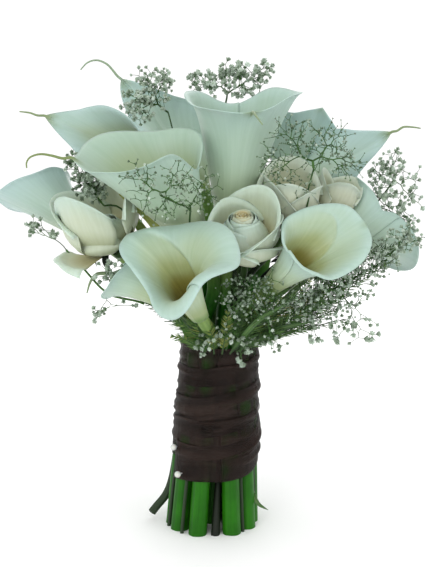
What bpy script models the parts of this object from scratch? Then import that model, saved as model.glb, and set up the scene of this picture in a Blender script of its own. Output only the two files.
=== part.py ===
"""A hand-tied bridal bouquet that stands on its own cut stems.

Twelve white calla lilies, five cream roses and sprays of baby's breath are gathered into one bundle,
bound with a dark ribbon and pinned with two pearl-headed pins. Blender units are metres, +Z is up,
-Y is the front of the bouquet, and the origin is the middle of the centre stem's cut end.
"""

import math
from dataclasses import dataclass

import bmesh
import bpy
import numpy as np
from mathutils import Vector
from mathutils.bvhtree import BVHTree

MM = 0.001
GAP = 0.3 * MM

# The bundle: calla stems stand in one ring round the centre stem, rose stems in a smaller ring inside it.
FOOT_RING = 30.5 * MM
BINDING_RING = 23.1 * MM
BINDING_CENTRE = Vector((6.4 * MM, 0.0, 155.0 * MM))
ROSE_RING_KNEE = 15.0 * MM
ROSE_KNEE_HEIGHT = 50.0 * MM

# A calla: a green stem, a white spathe rolled round its top and a yellow spadix inside.
STEM_FOOT_RADIUS = 7.5 * MM
STEM_BINDING_RADIUS = 6.0 * MM
STEM_TOP_RADIUS = 4.8 * MM
STEM_IN_SPATHE = 6.0 * MM
STEM_SIDES = 8
SPATHE_ROOT_RADIUS = 6.5 * MM
SPATHE_THICKNESS = 0.8 * MM
SPATHE_LAP = 0.62 * MM
SPADIX_RADIUS = 3.1 * MM
SPADIX_LENGTH = 40.0 * MM

# A rose: an upright bud of rolled petals on a thinner stem.
ROSE_STEM_FOOT_RADIUS = 3.6 * MM
ROSE_STEM_RADIUS = 2.7 * MM
ROSE_STEM_SIDES = 6
PETAL_THICKNESS = 0.7 * MM

# The ribbon: six overlapping wraps round the bundle, given by the heights of their edges at the front.
RIBBON_EDGES = (44.0, 65.0, 88.0, 110.0, 124.0, 138.0, 154.0)
RIBBON_SIDES = 20
RIBBON_GAP = 0.45 * MM
RIBBON_THIN = 1.0 * MM
RIBBON_THICK = 1.9 * MM
RIBBON_RISE = 16.0 * MM

# The pins: a pearl head and a thin shank in a drilled hole. Each is (heading, height).
PINS = (("high", -58.5, 69.0), ("low", -46.0, 49.0))
PEARL_RADIUS = 2.6 * MM
SHANK_RADIUS = 0.45 * MM
SHANK_LENGTH = 13.0 * MM

# Baby's breath: wiry stems in the outer grooves between calla stems, thin twigs and small blooms.
SPRAY_RING_FOOT = 35.1 * MM
SPRAY_RING_BINDING = 25.9 * MM
SPRAY_FOOT_RADIUS = 1.6 * MM
SPRAY_STEM_RADIUS = 1.1 * MM
TWIG_RADIUS = 0.55 * MM
BLOOM_RADIUS = 3.3 * MM

WHITE = (0.86, 0.90, 0.80)
CREAM = (0.90, 0.87, 0.74)
YELLOW = (0.80, 0.62, 0.12)
CALLA_GREEN = (0.16, 0.42, 0.07)
ROSE_GREEN = (0.05, 0.14, 0.06)
SPRAY_GREY = (0.62, 0.68, 0.56)
RIBBON_BROWN = (0.035, 0.020, 0.016)
PEARL = (0.88, 0.86, 0.80)


def heading(degrees, rise):
    """A unit vector: heading 0 points to the front (-Y), 90 to the right (+X); rise is above the horizon."""
    h = math.radians(degrees)
    r = math.radians(rise)
    return Vector((math.sin(h) * math.cos(r), -math.cos(h) * math.cos(r), math.sin(r)))


def square_to(direction, axis):
    """The part of a direction that is square to the axis, as a unit vector."""
    return (direction - axis * direction.dot(axis)).normalized()


def smooth(x, low, high):
    """0 below low, 1 above high, and a smooth step between."""
    t = np.clip((x - low) / (high - low), 0.0, 1.0)
    return t * t * (3 - 2 * t)


def material(name, colour, roughness, metallic=0.0):
    """A Principled material, made once."""
    found = bpy.data.materials.get(name)
    if found:
        return found
    made = bpy.data.materials.new(name)
    made.use_nodes = True
    shader = made.node_tree.nodes["Principled BSDF"]
    shader.inputs["Base Color"].default_value = (*colour, 1.0)
    shader.inputs["Roughness"].default_value = roughness
    shader.inputs["Metallic"].default_value = metallic
    return made


def mesh_object(name, points, faces, look):
    """A mesh object from points and faces, smooth but for its sharp edges."""
    mesh = bpy.data.meshes.new(name)
    mesh.from_pydata([tuple(p) for p in points], [], [tuple(int(i) for i in f) for f in faces])
    mesh.validate()
    mesh.shade_smooth()
    mesh.set_sharp_from_angle(angle=math.radians(50))
    mesh.materials.append(look)
    made = bpy.data.objects.new(name, mesh)
    bpy.context.scene.collection.objects.link(made)
    return made


def joined(name, pieces, look):
    """One closed body from overlapping pieces, given as (points, faces): a Boolean union on a collection."""
    base = mesh_object(name, *pieces[0], look)
    if len(pieces) == 1:
        return base
    extra = bpy.data.collections.new(name + "_pieces")
    bpy.context.scene.collection.children.link(extra)
    for number, piece in enumerate(pieces[1:]):
        made = mesh_object(f"{name}_piece_{number}", *piece, look)
        bpy.context.scene.collection.objects.unlink(made)
        extra.objects.link(made)
    apply_boolean(base, "UNION", collection=extra)
    for made in list(extra.objects):
        bpy.data.objects.remove(made)
    bpy.data.collections.remove(extra)
    weld(base)
    return base


def weld(base):
    """Merges the corners that a Boolean leaves almost on top of each other, where that stays closed."""
    shape = bmesh.new()
    shape.from_mesh(base.data)
    bmesh.ops.remove_doubles(shape, verts=shape.verts[:], dist=0.05 * MM)
    bmesh.ops.dissolve_degenerate(shape, edges=shape.edges[:], dist=0.01 * MM)
    bmesh.ops.triangulate(shape, faces=shape.faces[:])
    if all(edge.is_manifold and edge.is_contiguous for edge in shape.edges):
        shape.to_mesh(base.data)
    else:
        print(base.name, "kept unwelded")
    shape.free()


def apply_boolean(base, operation, collection=None, other=None, solver="MANIFOLD"):
    """Applies one Boolean to a mesh object, and keeps the result as its mesh."""
    cut = base.modifiers.new("Boolean", "BOOLEAN")
    cut.operation = operation
    cut.solver = solver
    if collection:
        cut.operand_type = "COLLECTION"
        cut.collection = collection
    else:
        cut.object = other
    graph = bpy.context.evaluated_depsgraph_get()
    graph.update()
    result = bpy.data.meshes.new_from_object(base.evaluated_get(graph))
    base.modifiers.clear()
    base.data = result


def side_faces(rings, sides, cap_first=True, cap_last=True):
    """Faces of a tube whose rings of points follow one another, closed by a cap at each end."""
    faces = []
    for ring in range(rings - 1):
        low = ring * sides
        high = low + sides
        for i in range(sides):
            j = (i + 1) % sides
            faces += [(low + i, low + j, high + j), (low + i, high + j, high + i)]
    if cap_first:
        faces += [(0, i + 1, i) for i in range(1, sides - 1)]
    if cap_last:
        top = (rings - 1) * sides
        faces += [(top, top + i, top + i + 1) for i in range(1, sides - 1)]
    return faces


def tube(line, radii, sides, foot_height=None):
    """A tube round a line of points: each ring is square to the line and turned on from the one before.

    Where foot_height is given the first ring is cut level at that height.
    """
    line = [Vector(p) for p in line]
    points = []
    side = None
    for i, point in enumerate(line):
        ahead = line[min(i + 1, len(line) - 1)] - line[max(i - 1, 0)]
        along = ahead.normalized()
        if side is None:
            side = square_to(Vector((1.0, 0.13, 0.0)) if abs(along.x) < 0.9 else Vector((0, 1, 0)), along)
        side = square_to(side, along)
        across = along.cross(side)
        for k in range(sides):
            angle = 2 * math.pi * k / sides
            offset = (side * math.cos(angle) + across * math.sin(angle)) * radii[i]
            corner = point + offset
            if i == 0 and foot_height is not None:
                corner = corner + along * ((foot_height - corner.z) / along.z)
            points.append(corner)
    return points, side_faces(len(line), sides)


def sheet(surface, normals, thickness):
    """A closed thin solid from a grid of surface points: both faces are split into triangles alike."""
    rows, columns = surface.shape[:2]
    top = (surface + normals * thickness / 2).reshape(-1, 3)
    bottom = (surface - normals * thickness / 2).reshape(-1, 3)
    points = np.concatenate([top, bottom])
    below = rows * columns
    faces = []
    for r in range(rows - 1):
        for c in range(columns - 1):
            a = r * columns + c
            b, d, e = a + 1, a + columns, a + columns + 1
            faces += [(a, b, e), (a, e, d)]
            faces += [(below + a, below + e, below + b), (below + a, below + d, below + e)]
    edge = [c for c in range(columns)]
    edge += [r * columns + columns - 1 for r in range(1, rows)]
    edge += [(rows - 1) * columns + c for c in range(columns - 2, -1, -1)]
    edge += [r * columns for r in range(rows - 2, 0, -1)]
    for a, b in zip(edge, edge[1:] + edge[:1]):
        faces += [(a, below + a, below + b), (a, below + b, b)]
    return points, faces


def grid_normals(surface):
    """Unit normals of a grid of points, from its two differences at each point."""
    along = np.gradient(surface, axis=0)
    across = np.gradient(surface, axis=1)
    normal = np.cross(across, along)
    return normal / np.linalg.norm(normal, axis=2, keepdims=True)


@dataclass
class Calla:
    """One calla lily. Lengths are in millimetres and angles in degrees.

    slot and foot are its stem's headings at the binding and at the cut ends. base is where the spathe
    starts, and heading and rise are the way its funnel opens. turn is where its tip is, round the axis
    from straight up. lengths and flares are the length from root to rim and the last angle from the axis
    at eight places round the rim, from the tip on. open_late, cone and point shape the meridians and the
    tip. bow is how far the stem's middle swings aside between the binding and the spathe. tail is a line
    of points from the tip.
    """

    name: str
    slot: float
    foot: float
    base: tuple
    heading: float
    rise: float
    turn: float
    lengths: tuple
    flares: tuple
    open_late: float = 2.6
    cone: float = 8.0
    point: float = 0.1
    bow: tuple = (0, 0)
    tail: tuple = ()

    def frame(self):
        """(base, tip side, cross side, axis) of the spathe."""
        axis = heading(self.heading, self.rise)
        up = square_to(Vector((0, 0, 1)), axis)
        turn = math.radians(self.turn)
        tip = up * math.cos(turn) + axis.cross(up) * math.sin(turn)
        return Vector(self.base) * MM, tip, axis.cross(tip), axis


CALLAS = [
    Calla("front", -19, -22, (-9, -63, 183), -30, 47, 65, (88, 67, 56, 70, 78, 80, 85, 81),
          (126, 47, 51, 129, 80, 149, 149, 147), 2.9, 10, 0.02, bow=(0, 0)),
    Calla("right_front", 14, 31, (40, -46, 199), 63, 40, 262, (89, 86, 64, 54, 53, 57, 61, 84),
          (43, 36, 71, 69, 68, 64, 53, 36), 2.7, 9, 0.01, bow=(0, 0)),
    Calla("right_side", 46, 66, (82, -13, 216), 112, 31, 270, (94, 84, 76, 67, 73, 82, 88, 92),
          (64, 51, 53, 6, 11, 56, 82, 93), 1.7, 6, 0.16, bow=(0, 0)),
    Calla("right_high", 79, 95, (40, 26, 260), 109, 21, 61, (102, 84, 75, 67, 63, 67, 77, 89),
          (39, 13, 27, 40, 44, 54, 60, 56), 2.9, 7, 0.18, bow=(7, 3),
          tail=((150, 28, 319), (155, 28, 322), (162, 28, 322), (169, 28, 321))),
    Calla("back_right", 112, 125, (54, 60, 248), 143, 56, 44, (90, 88, 82, 78, 76, 78, 82, 87),
          (66, 65, 65, 64, 63, 66, 71, 73), 2.4, 9, 0.10, bow=(4, 4)),
    Calla("back", 145, 154, (12, 60, 212), 184, 38, 200, (88, 80, 72, 66, 64, 68, 74, 82),
          (52, 60, 70, 78, 80, 74, 66, 56), 2.5, 9, 0.12, bow=(15, 13)),
    Calla("back_left", 177, 184, (-7, 56, 261), -148, 55, 289, (112, 91, 74, 65, 64, 69, 81, 96),
          (54, 45, 61, 72, 58, 52, 46, 37), 2.3, 10, 0.11, bow=(-6, 26),
          tail=((-80, 71, 365), (-84, 71, 370), (-89, 71, 375), (-97, 71, 378), (-105, 71, 376),
                (-111, 71, 370))),
    Calla("left_high", -150, -147, (-22, 36, 282), -54, 23, 85, (105, 88, 77, 71, 66, 68, 82, 95),
          (45, 33, 25, 23, 25, 24, 20, 28), 2.7, 8, 0.18, bow=(0, -5),
          tail=((-138, 8, 331), (-144, 8, 333), (-152, 8, 334))),
    Calla("left_side", -117, -117, (-84, 14, 227), -110, 33, 219, (100, 96, 82, 76, 71, 68, 78, 91),
          (17, 28, 43, 41, 43, 45, 34, 23), 2.6, 8, 0.09, bow=(0, 0),
          tail=((-195, 32, 266), (-202, 32, 263))),
    Calla("left_low", -85, -88, (-35, -46, 192), -91, 34, 115, (46, 39, 47, 50, 46, 43, 41, 44),
          (57, 52, 60, 62, 55, 68, 79, 73), 3.0, 14, 0.16, bow=(-7, 9),
          tail=((-90, -19, 208), (-95, -19, 202), (-98, -19, 193))),
    Calla("left_front", -52, -58, (-8, -6, 225), -34, 47, 122, (125, 134, 125, 116, 79, 96, 102, 123),
          (30, 18, 11, 5, 19, 58, 57, 53), 2.4, 14, 0.07, bow=(6, -6),
          tail=((-108, -69, 299), (-116, -69, 301), (-124, -69, 302), (-131, -69, 300),
                (-134, -69, 296), (-134, -69, 292))),
    Calla("centre", 0, 0, (13, 0, 225), 70, 85, 118, (125, 134, 136, 132, 118, 126, 127, 126),
          (79, 38, 32, 8, 8, 21, 33, 68), 4.5, 13, 0.01, bow=(-1, -2),
          tail=((32, -68, 329), (36, -76, 323))),
]


@dataclass
class Rose:
    """One rose. Lengths are in millimetres and angles in degrees."""

    name: str
    slot: float
    foot: float
    root: tuple
    heading: float
    rise: float
    turn: float = 0.0
    size: float = 1.0
    foot_ring: float = 17.0
    tied_ring: float = 11.2
    bow: tuple = (0, 0)


ROSES = [
    Rose("front", 15, 5, (25, -36, 228), -5, 48, 20, 1.12, foot_ring=30.5, tied_ring=14.3),
    Rose("left", -75, -60, (-74, -20, 228), -50, 34, 70, 1.12, bow=(1, 4)),
    Rose("right", 80, 80, (58, -10, 250), 12, 62, 0, 0.95, bow=(-13, -3)),
    Rose("right_back", 130, 130, (92, 2, 256), 50, 62, 40, 0.82, bow=(-6, 7)),
    Rose("back_right", 165, 170, (62, 54, 206), 118, 32, 10, 0.95, tied_ring=14.6),
]


@dataclass
class Spray:
    """One stem of baby's breath. Lengths are in millimetres and angles in degrees.

    slot and foot are the stem's headings at the binding and at the cut ends. forks are the places its
    twigs part at, and blooms are the places of its small white blooms. cut_end is where the stem
    starts: a point, or a height on its straight run.
    """

    name: str
    slot: float
    foot: float
    forks: tuple
    blooms: tuple
    cut_end: object = 0.0


SPRAYS = [
    Spray("top_left", -166.5, -161, ((-29, 34, 312), (-36, 38, 334)),
          ((-51, 38, 357), (-40, 40, 368), (-70, 34, 342), (-50, 34, 337), (-59, 32, 329),
           (-42, 36, 345), (-52, 30, 347), (-66, 30, 332))),
    Spray("top_centre", 161, 169, ((8, 44, 312), (11, 48, 340)),
          ((-8, 52, 369), (-16, 48, 359), (14, 54, 374), (24, 52, 366), (33, 56, 369),
           (42, 54, 361), (15, 46, 352), (28, 48, 352), (8, 58, 364))),
    Spray("right_big", 30, 48.5, ((67, -30, 242), (72, -40, 270), (76, -44, 291)),
          ((60, -40, 330), (85, -40, 324), (99, -34, 315), (43, -48, 299), (52, -50, 289),
           (40, -52, 283), (101, -34, 292), (100, -36, 277), (58, -46, 306), (71, -44, 311))),
    Spray("centre_left", -35.5, -40, ((-17, -42, 243), (-16, -80, 265), (-36, -104, 274)),
          ((-63, -108, 292), (-42, -112, 291), (-31, -110, 299), (-28, -106, 281),
           (-15, -96, 296), (-7, -92, 290), (-22, -98, 269), (-9, -84, 266), (1, -76, 277),
           (-38, -100, 264))),
    Spray("right_edge", 62.5, 80.5, ((102, 6, 236), (131, 10, 259), (145, 6, 280)),
          ((146, 4, 301), (136, 4, 291), (162, 4, 288), (145, 0, 271), (133, 4, 274),
           (152, -2, 260), (163, -4, 254), (121, 0, 287), (163, -10, 237))),
    Spray("right_low", 95.5, 110, ((70, -12, 187), (103, -30, 202), (138, -30, 222)),
          ((157, -26, 233), (132, -42, 226), (122, -36, 215), (109, -42, 208), (96, -44, 201),
           (82, -48, 192), (151, -34, 213), (118, -38, 189), (95, -40, 166), (141, -24, 235))),
    Spray("lower_centre", -2.5, 4.5, ((18, -50, 176), (25, -62, 194), (37, -60, 180)),
          ((3, -66, 192), (21, -66, 207), (29, -70, 196), (40, -62, 203), (53, -58, 197),
           (21, -58, 169), (12, -50, 157), (48, -58, 171), (65, -54, 179), (21, -44, 139)),
          cut_end=60),
    Spray("left_low", -101, -102.5, ((-57, -4, 185), (-82, -24, 193), (-115, -6, 226)),
          ((-85, -44, 221), (-91, -44, 211), (-84, -24, 171), (-73, -28, 197), (-58, -42, 187),
           (-141, 8, 239), (-124, 0, 238), (-152, 14, 253)), cut_end=(-48, 8, 5)),
    Spray("left_high", -68.5, -73, ((-52, -12, 217), (-83, -24, 262)),
          ((-104, -26, 277), (-93, -30, 282), (-86, -36, 274), (-97, -38, 272), (-82, -36, 281),
           (-108, -22, 284), (-115, -18, 303))),
    Spray("back_high", 128.5, 139.8, ((29, 64, 261), (43, 80, 294)),
          ((43, 92, 327), (77, 96, 311), (21, 90, 294), (57, 104, 285), (39, 104, 271),
           (86, 100, 276), (11, 100, 267), (3, 104, 302))),
]


def round_the_rim(values, theta):
    """Reads eight values that stand evenly round a rim at any angles, with a smooth closed curve."""
    values = np.asarray(values, float)
    place = (theta / (2 * math.pi) * len(values)) % len(values)
    low = np.floor(place).astype(int)
    f = place - low
    a, b, c, d = (values[(low + k) % len(values)] for k in (-1, 0, 1, 2))
    return b + 0.5 * f * (c - a + f * (2 * a - 5 * b + 4 * c - d + f * (3 * (b - c) + d - a)))


def spathe_row(calla, theta, q):
    """Points round the spathe at the share q of its length, in the flower's own frame in metres.

    theta goes round from the tip. Each meridian starts at a small angle to the axis and turns outwards
    as q to the power open_late, up to its own last angle, and the tip is drawn out into a point.
    """
    length = round_the_rim(calla.lengths, theta) * MM
    length = length * (1 + calla.point * np.clip(1 - np.abs(theta) / 0.5, 0, 1) ** 1.6)
    last = np.radians(round_the_rim(calla.flares, theta))
    share = (np.arange(24) + 0.5)[:, None] / 24 * q
    start = math.radians(calla.cone)
    angle = start + (last - start) * share**calla.open_late
    radius = SPATHE_ROOT_RADIUS + np.sin(angle).mean(axis=0) * q * length
    height = np.cos(angle).mean(axis=0) * q * length
    return np.stack([radius * np.cos(theta), radius * np.sin(theta), height], axis=1)


def spathe(calla):
    """The rolled white leaf of a calla, with its point drawn out into a narrow tail."""
    half = np.array([0.0, 0.16, 0.45, 0.9, 1.4, 1.9, 2.5, math.pi])
    theta = np.concatenate([-half[:0:-1], half])
    shares = np.array([0.0, 0.22, 0.42, 0.6, 0.76, 0.89, 1.0])
    surface = np.stack([spathe_row(calla, theta, q) for q in shares])
    normals = grid_normals(surface)
    # One edge ends inside and the other outside, as the leaf is rolled.
    surface = surface + normals * (SPATHE_LAP * theta / math.pi)[None, :, None]
    points, faces = sheet(surface, normals, SPATHE_THICKNESS)
    base, tip, cross, axis = calla.frame()
    points = [base + tip * float(p[0]) + cross * float(p[1]) + axis * float(p[2]) for p in points]
    if calla.tail:
        draw_tail(calla, points, faces, len(shares), len(theta))
    return points, faces


def draw_tail(calla, points, faces, rows, columns):
    """Draws the rim out at the tip: the loop of six points there narrows along the tail's line."""
    middle = columns // 2
    rim = (rows - 1) * columns
    below = rows * columns
    loop = [rim + middle - 1, rim + middle, rim + middle + 1]
    edges = [set(loop[:2]), set(loop[1:])]
    faces[:] = [f for f in faces if not is_rim_face(f, edges, below)]
    ring = loop + [below + i for i in reversed(loop)]
    across = (points[loop[2]] - points[loop[0]]).normalized()
    last = (points[loop[1]] + points[below + loop[1]]) / 2
    for number, target in enumerate(calla.tail):
        point = Vector(target) * MM
        way = (point - last).normalized()
        width = (1.5 - 0.9 * (number + 1) / len(calla.tail)) * MM
        side = square_to(across, way)
        lift = way.cross(side)
        if number == 0:
            handed = 1 if lift.dot(points[loop[1]] - points[below + loop[1]]) > 0 else -1
        made = []
        for x, y in ((-1, 0.55), (0, 1), (1, 0.55), (1, -0.55), (0, -1), (-1, -0.55)):
            made.append(len(points))
            points.append(point + side * x * width + lift * handed * y * width)
        for i in range(6):
            j = (i + 1) % 6
            faces += [(ring[i], ring[j], made[j]), (ring[i], made[j], made[i])]
        ring = made
        last = point
    faces += [(ring[0], ring[i], ring[i + 1]) for i in range(1, 5)]


def is_rim_face(face, edges, below):
    """Whether a face closes the rim along one of these edges of the top sheet."""
    return {i % below for i in face} in edges


def spadix(calla):
    """The yellow finger inside the spathe: a round-ended rod that stands on the stem's end."""
    base, _, _, axis = calla.frame()
    start = base + axis * (STEM_IN_SPATHE + GAP)
    shares = (0.0, 0.35, 0.75, 0.93, 1.0)
    widths = (0.85, 1.0, 0.85, 0.6, 0.25)
    length = min(SPADIX_LENGTH, 0.5 * min(calla.lengths) * MM)
    line = [start + axis * length * s for s in shares]
    return tube(line, [SPADIX_RADIUS * w for w in widths], 6)


def bundle_point(angle, foot_ring, binding_angle, binding_ring, height):
    """A point on a stem's straight run through the handle, at that height."""
    foot = heading(angle, 0) * foot_ring
    tied = BINDING_CENTRE + heading(binding_angle, 0) * binding_ring
    return foot.lerp(tied, height / BINDING_CENTRE.z)


def curve_between(start, start_way, finish, finish_way, count, bow=(0, 0)):
    """Points of a smooth curve that leaves one end and reaches the other along given directions."""
    reach = (finish - start).length
    line = []
    for step in range(1, count + 1):
        t = step / count
        ways = ((t - 2 * t**2 + t**3) * start_way + (t**3 - t**2) * finish_way) * reach
        aside = Vector((*bow, 0)) * MM * math.sin(math.pi * t) ** 2
        line.append(start * (1 - 3 * t**2 + 2 * t**3) + finish * (3 * t**2 - 2 * t**3) + ways + aside)
    return line


def parting_way(tied, goal):
    """The way a stem sets off above the binding: upwards, and a little towards where it goes."""
    level = goal - tied
    level.z = 0.0
    return (Vector((0, 0, 1)) + level.normalized() * 0.25).normalized() if level.length else Vector((0, 0, 1))


def calla_stem(calla):
    """The green stem, cut level at the foot, straight through the handle and curved out to the spathe."""
    base, _, _, axis = calla.frame()
    ring = 0.0 if calla.name == "centre" else FOOT_RING
    tied_ring = 0.0 if calla.name == "centre" else BINDING_RING
    foot = bundle_point(calla.foot, ring, calla.slot, tied_ring, 0.0)
    tied = bundle_point(calla.foot, ring, calla.slot, tied_ring, BINDING_CENTRE.z)
    under = base - axis * 4 * MM
    curve = curve_between(tied, parting_way(tied, under), under, axis, 5, calla.bow)
    line = [foot, tied, *curve, base + axis * STEM_IN_SPATHE]
    radii = [STEM_FOOT_RADIUS, STEM_BINDING_RADIUS]
    radii += [STEM_BINDING_RADIUS + (STEM_TOP_RADIUS - STEM_BINDING_RADIUS) * k / 5 for k in range(1, 6)]
    radii += [STEM_TOP_RADIUS]
    return tube(line, radii, STEM_SIDES, foot_height=0.0)


def rose_sheet(rose):
    """The bloom: one long petal sheet wound round and round, tight in the middle and open outside.

    The windings keep clear of each other, and dips in the upper edge part it into single petals.
    """
    turns = 4.4
    per_turn = 8
    columns = int(turns * per_turn) + 1
    wind = np.arange(columns) / per_turn
    v = np.array([0.0, 0.45, 0.8, 1.0])[:, None]
    theta = 2 * math.pi * wind + math.radians(rose.turn)
    share = wind / turns
    petal = np.abs(np.sin(math.pi * wind * 1.55 + 0.6)) ** 0.6
    root = 1.3 + 1.3 * wind
    belly = 2.0 + 21.5 * share**1.05
    height = 33.0 + 4.0 * np.sin(math.pi * np.minimum(1, share * 1.5)) - 7.0 * share**3
    height = height - (1 - petal) * (2.0 + 5.0 * share)
    swell = np.sin(0.5 * math.pi * np.clip(v / 0.62, 0, 1)) ** 0.9
    lip = np.clip((v - 0.55) / 0.45, 0, 1) ** 2
    r = root + (belly - root) * swell + lip * (4.5 * share**2 * petal - 1.6 * (1 - share))
    z = height * v - lip * 4.0 * share**2
    surface = np.stack([r * np.cos(theta), r * np.sin(theta), z + 0 * theta], axis=2) * rose.size * MM
    points, faces = sheet(surface, grid_normals(surface), PETAL_THICKNESS)
    axis = heading(rose.heading, rose.rise)
    side = square_to(Vector((0.2, 0.1, 1.0)), axis)
    cross = axis.cross(side)
    root_at = Vector(rose.root) * MM
    return [root_at + side * float(p[0]) + cross * float(p[1]) + axis * float(p[2]) for p in points], faces


def rose_stem(rose):
    """The rose's dark stem, from its cut end to the round hip under the bloom."""
    axis = heading(rose.heading, rose.rise)
    tied_ring = rose.tied_ring * MM
    foot = bundle_point(rose.foot, rose.foot_ring * MM, rose.slot, tied_ring, 0.0)
    tied = bundle_point(rose.foot, rose.foot_ring * MM, rose.slot, tied_ring, BINDING_CENTRE.z)
    finish = Vector(rose.root) * MM - axis * 0.7 * MM
    neck = finish - axis * 9 * MM
    curve = curve_between(tied, parting_way(tied, neck), neck, axis, 5, rose.bow)
    knee = bundle_point(rose.slot, ROSE_RING_KNEE, rose.slot, tied_ring, ROSE_KNEE_HEIGHT)
    line = [foot, knee, tied, *curve, finish - axis * 4 * MM, finish]
    radii = [ROSE_STEM_FOOT_RADIUS] + [ROSE_STEM_RADIUS] * 7 + [6.2 * MM, 5.4 * MM]
    return tube(line, radii, ROSE_STEM_SIDES, foot_height=0.0)


def bundle_radius(height):
    """The radius round all stems at that height, where the ribbon's inner face is."""
    share = height / BINDING_CENTRE.z
    foot = FOOT_RING + STEM_FOOT_RADIUS
    tied = BINDING_RING + STEM_BINDING_RADIUS
    return foot + (tied - foot) * share + RIBBON_GAP


def ribbon():
    """The ribbon sleeve: each wrap's lower edge stands out over the wrap below, and the lowest edge
    rises at the right where the end runs out.
    """
    rings = []
    levels = [e * MM for e in RIBBON_EDGES]
    for number, (low, high) in enumerate(zip(levels, levels[1:])):
        rings.append((low, RIBBON_THICK, number))
        rings.append((high - 0.4 * MM, RIBBON_THIN, number + 1))
    rings += [(levels[-1], 0.0, len(levels) - 1), (levels[0], 0.0, 0)]
    points = []
    for height, thickness, wrap in rings:
        for k in range(RIBBON_SIDES):
            angle = 2 * math.pi * k / RIBBON_SIDES
            side = Vector((math.sin(angle), -math.cos(angle), 0))
            z = height + 1.2 * MM * math.sin(angle + 1.7 * wrap)
            if wrap == 0:
                z += RIBBON_RISE * float(smooth(side.x, 0.15, 1.0))
            z = min(z, BINDING_CENTRE.z - 0.5 * MM)
            radius = bundle_radius(z) / math.cos(math.pi / RIBBON_SIDES) + thickness
            points.append(BINDING_CENTRE * (z / BINDING_CENTRE.z) + side * radius)
    count = len(rings)
    faces = side_faces(count, RIBBON_SIDES, cap_first=False, cap_last=False)
    last = (count - 1) * RIBBON_SIDES
    for i in range(RIBBON_SIDES):
        j = (i + 1) % RIBBON_SIDES
        faces += [(last + i, last + j, j), (last + i, j, i)]
    return points, faces


def pin_place(angle, height):
    """(surface point on the ribbon, outward way) of a pin."""
    out = heading(angle, 0)
    centre = BINDING_CENTRE * (height * MM / BINDING_CENTRE.z)
    return centre + out * (bundle_radius(height * MM) + RIBBON_THICK + 0.4 * MM), out


def pin(angle, height):
    """A pearl-headed pin: a thin shank that widens into a round head."""
    start, out = pin_place(angle, height)
    centre = start + out * PEARL_RADIUS
    line = [start - out * SHANK_LENGTH, start + out * 0.12 * PEARL_RADIUS]
    radii = [SHANK_RADIUS, SHANK_RADIUS]
    for turn in (35, 65, 90, 120, 150, 172):
        line.append(centre - out * PEARL_RADIUS * math.cos(math.radians(turn)))
        radii.append(PEARL_RADIUS * math.sin(math.radians(turn)))
    return tube(line, radii, 6)


def pin_hole(angle, height):
    """What the pin's hole takes out of the ribbon and the stem behind it."""
    start, out = pin_place(angle, height)
    line = [start - out * (SHANK_LENGTH + GAP), start + out * 3 * MM]
    return tube(line, [SHANK_RADIUS + GAP] * 2, 6)


def surface_tree(objects):
    """A search tree of the faces of all these objects."""
    points = []
    faces = []
    for item in objects:
        first = len(points)
        points += [v.co.copy() for v in item.data.vertices]
        faces += [[first + i for i in face.vertices] for face in item.data.polygons]
    return BVHTree.FromPolygons(points, faces)


def nearest_gap(tree, point):
    """How far a point is from the nearest face."""
    found = tree.find_nearest(point)
    return found[3] if found[0] is not None else 1.0


def line_gap(tree, line, radius, skip=0.0):
    """The least gap between a tube along this line and every face, past the first stretch skip."""
    worst = 1.0
    for a, b in zip(line, line[1:]):
        count = max(1, int((b - a).length / (1.5 * MM)))
        for k in range(count + 1):
            point = a.lerp(b, k / count)
            if (point - line[0]).length >= skip:
                worst = min(worst, nearest_gap(tree, point) - radius)
    return worst


def free_line(tree, start, goal, radius, random, corners, tries=1500):
    """(least gap, points) of a bowed line from start to goal that keeps clear of every face."""
    best = None
    for attempt in range(tries):
        reach = 0.05 * MM + (goal - start).length * 0.9 * attempt / tries
        first, second = (Vector(random.normal(0, 1, 3)) * reach for _ in range(2))
        a, b = start.lerp(goal, 1 / 3) + first, start.lerp(goal, 2 / 3) + second
        line = []
        for step in range(corners):
            t = step / (corners - 1)
            line.append(start * (1 - t) ** 3 + (a * (1 - t) + b * t) * 3 * t * (1 - t) + goal * t**3)
        gap = line_gap(tree, line, radius)
        if best is None or gap > best[0]:
            best = (gap, line)
        if gap > 0.5 * MM:
            break
    return best


def risen(tree, tied, outward, radius, random):
    """A point above the binding that a straight stem from there reaches clear of its neighbours."""
    best = None
    for attempt in range(600):
        aside = Vector(random.normal(0, 1, 3)) * 0.015 * MM * attempt
        point = tied + Vector((0, 0, 11 * MM)) + outward * 4.5 * MM + aside
        gap = line_gap(tree, [tied + (point - tied) * 0.2, point], radius)
        if best is None or gap > best[0]:
            best = (gap, point)
        if gap > 0.4 * MM:
            break
    return best[1]


def settled(tree, point, clearance, random):
    """The point, moved as little as it takes to stand clear of every face."""
    for attempt in range(400):
        moved = point + Vector(random.normal(0, 1, 3)) * 0.08 * MM * attempt
        if nearest_gap(tree, moved) > clearance:
            return moved
    return None


def twig(line):
    """A thin twig that widens into a small bloom, drawn as a three-sided double cone."""
    way = (line[-1] - line[-2]).normalized()
    line = [*line[:-1], line[-1] - way * BLOOM_RADIUS, line[-1], line[-1] + way * BLOOM_RADIUS]
    radii = [TWIG_RADIUS] * (len(line) - 2) + [BLOOM_RADIUS, 0.3 * MM]
    return tube(line, radii, 3)


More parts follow.
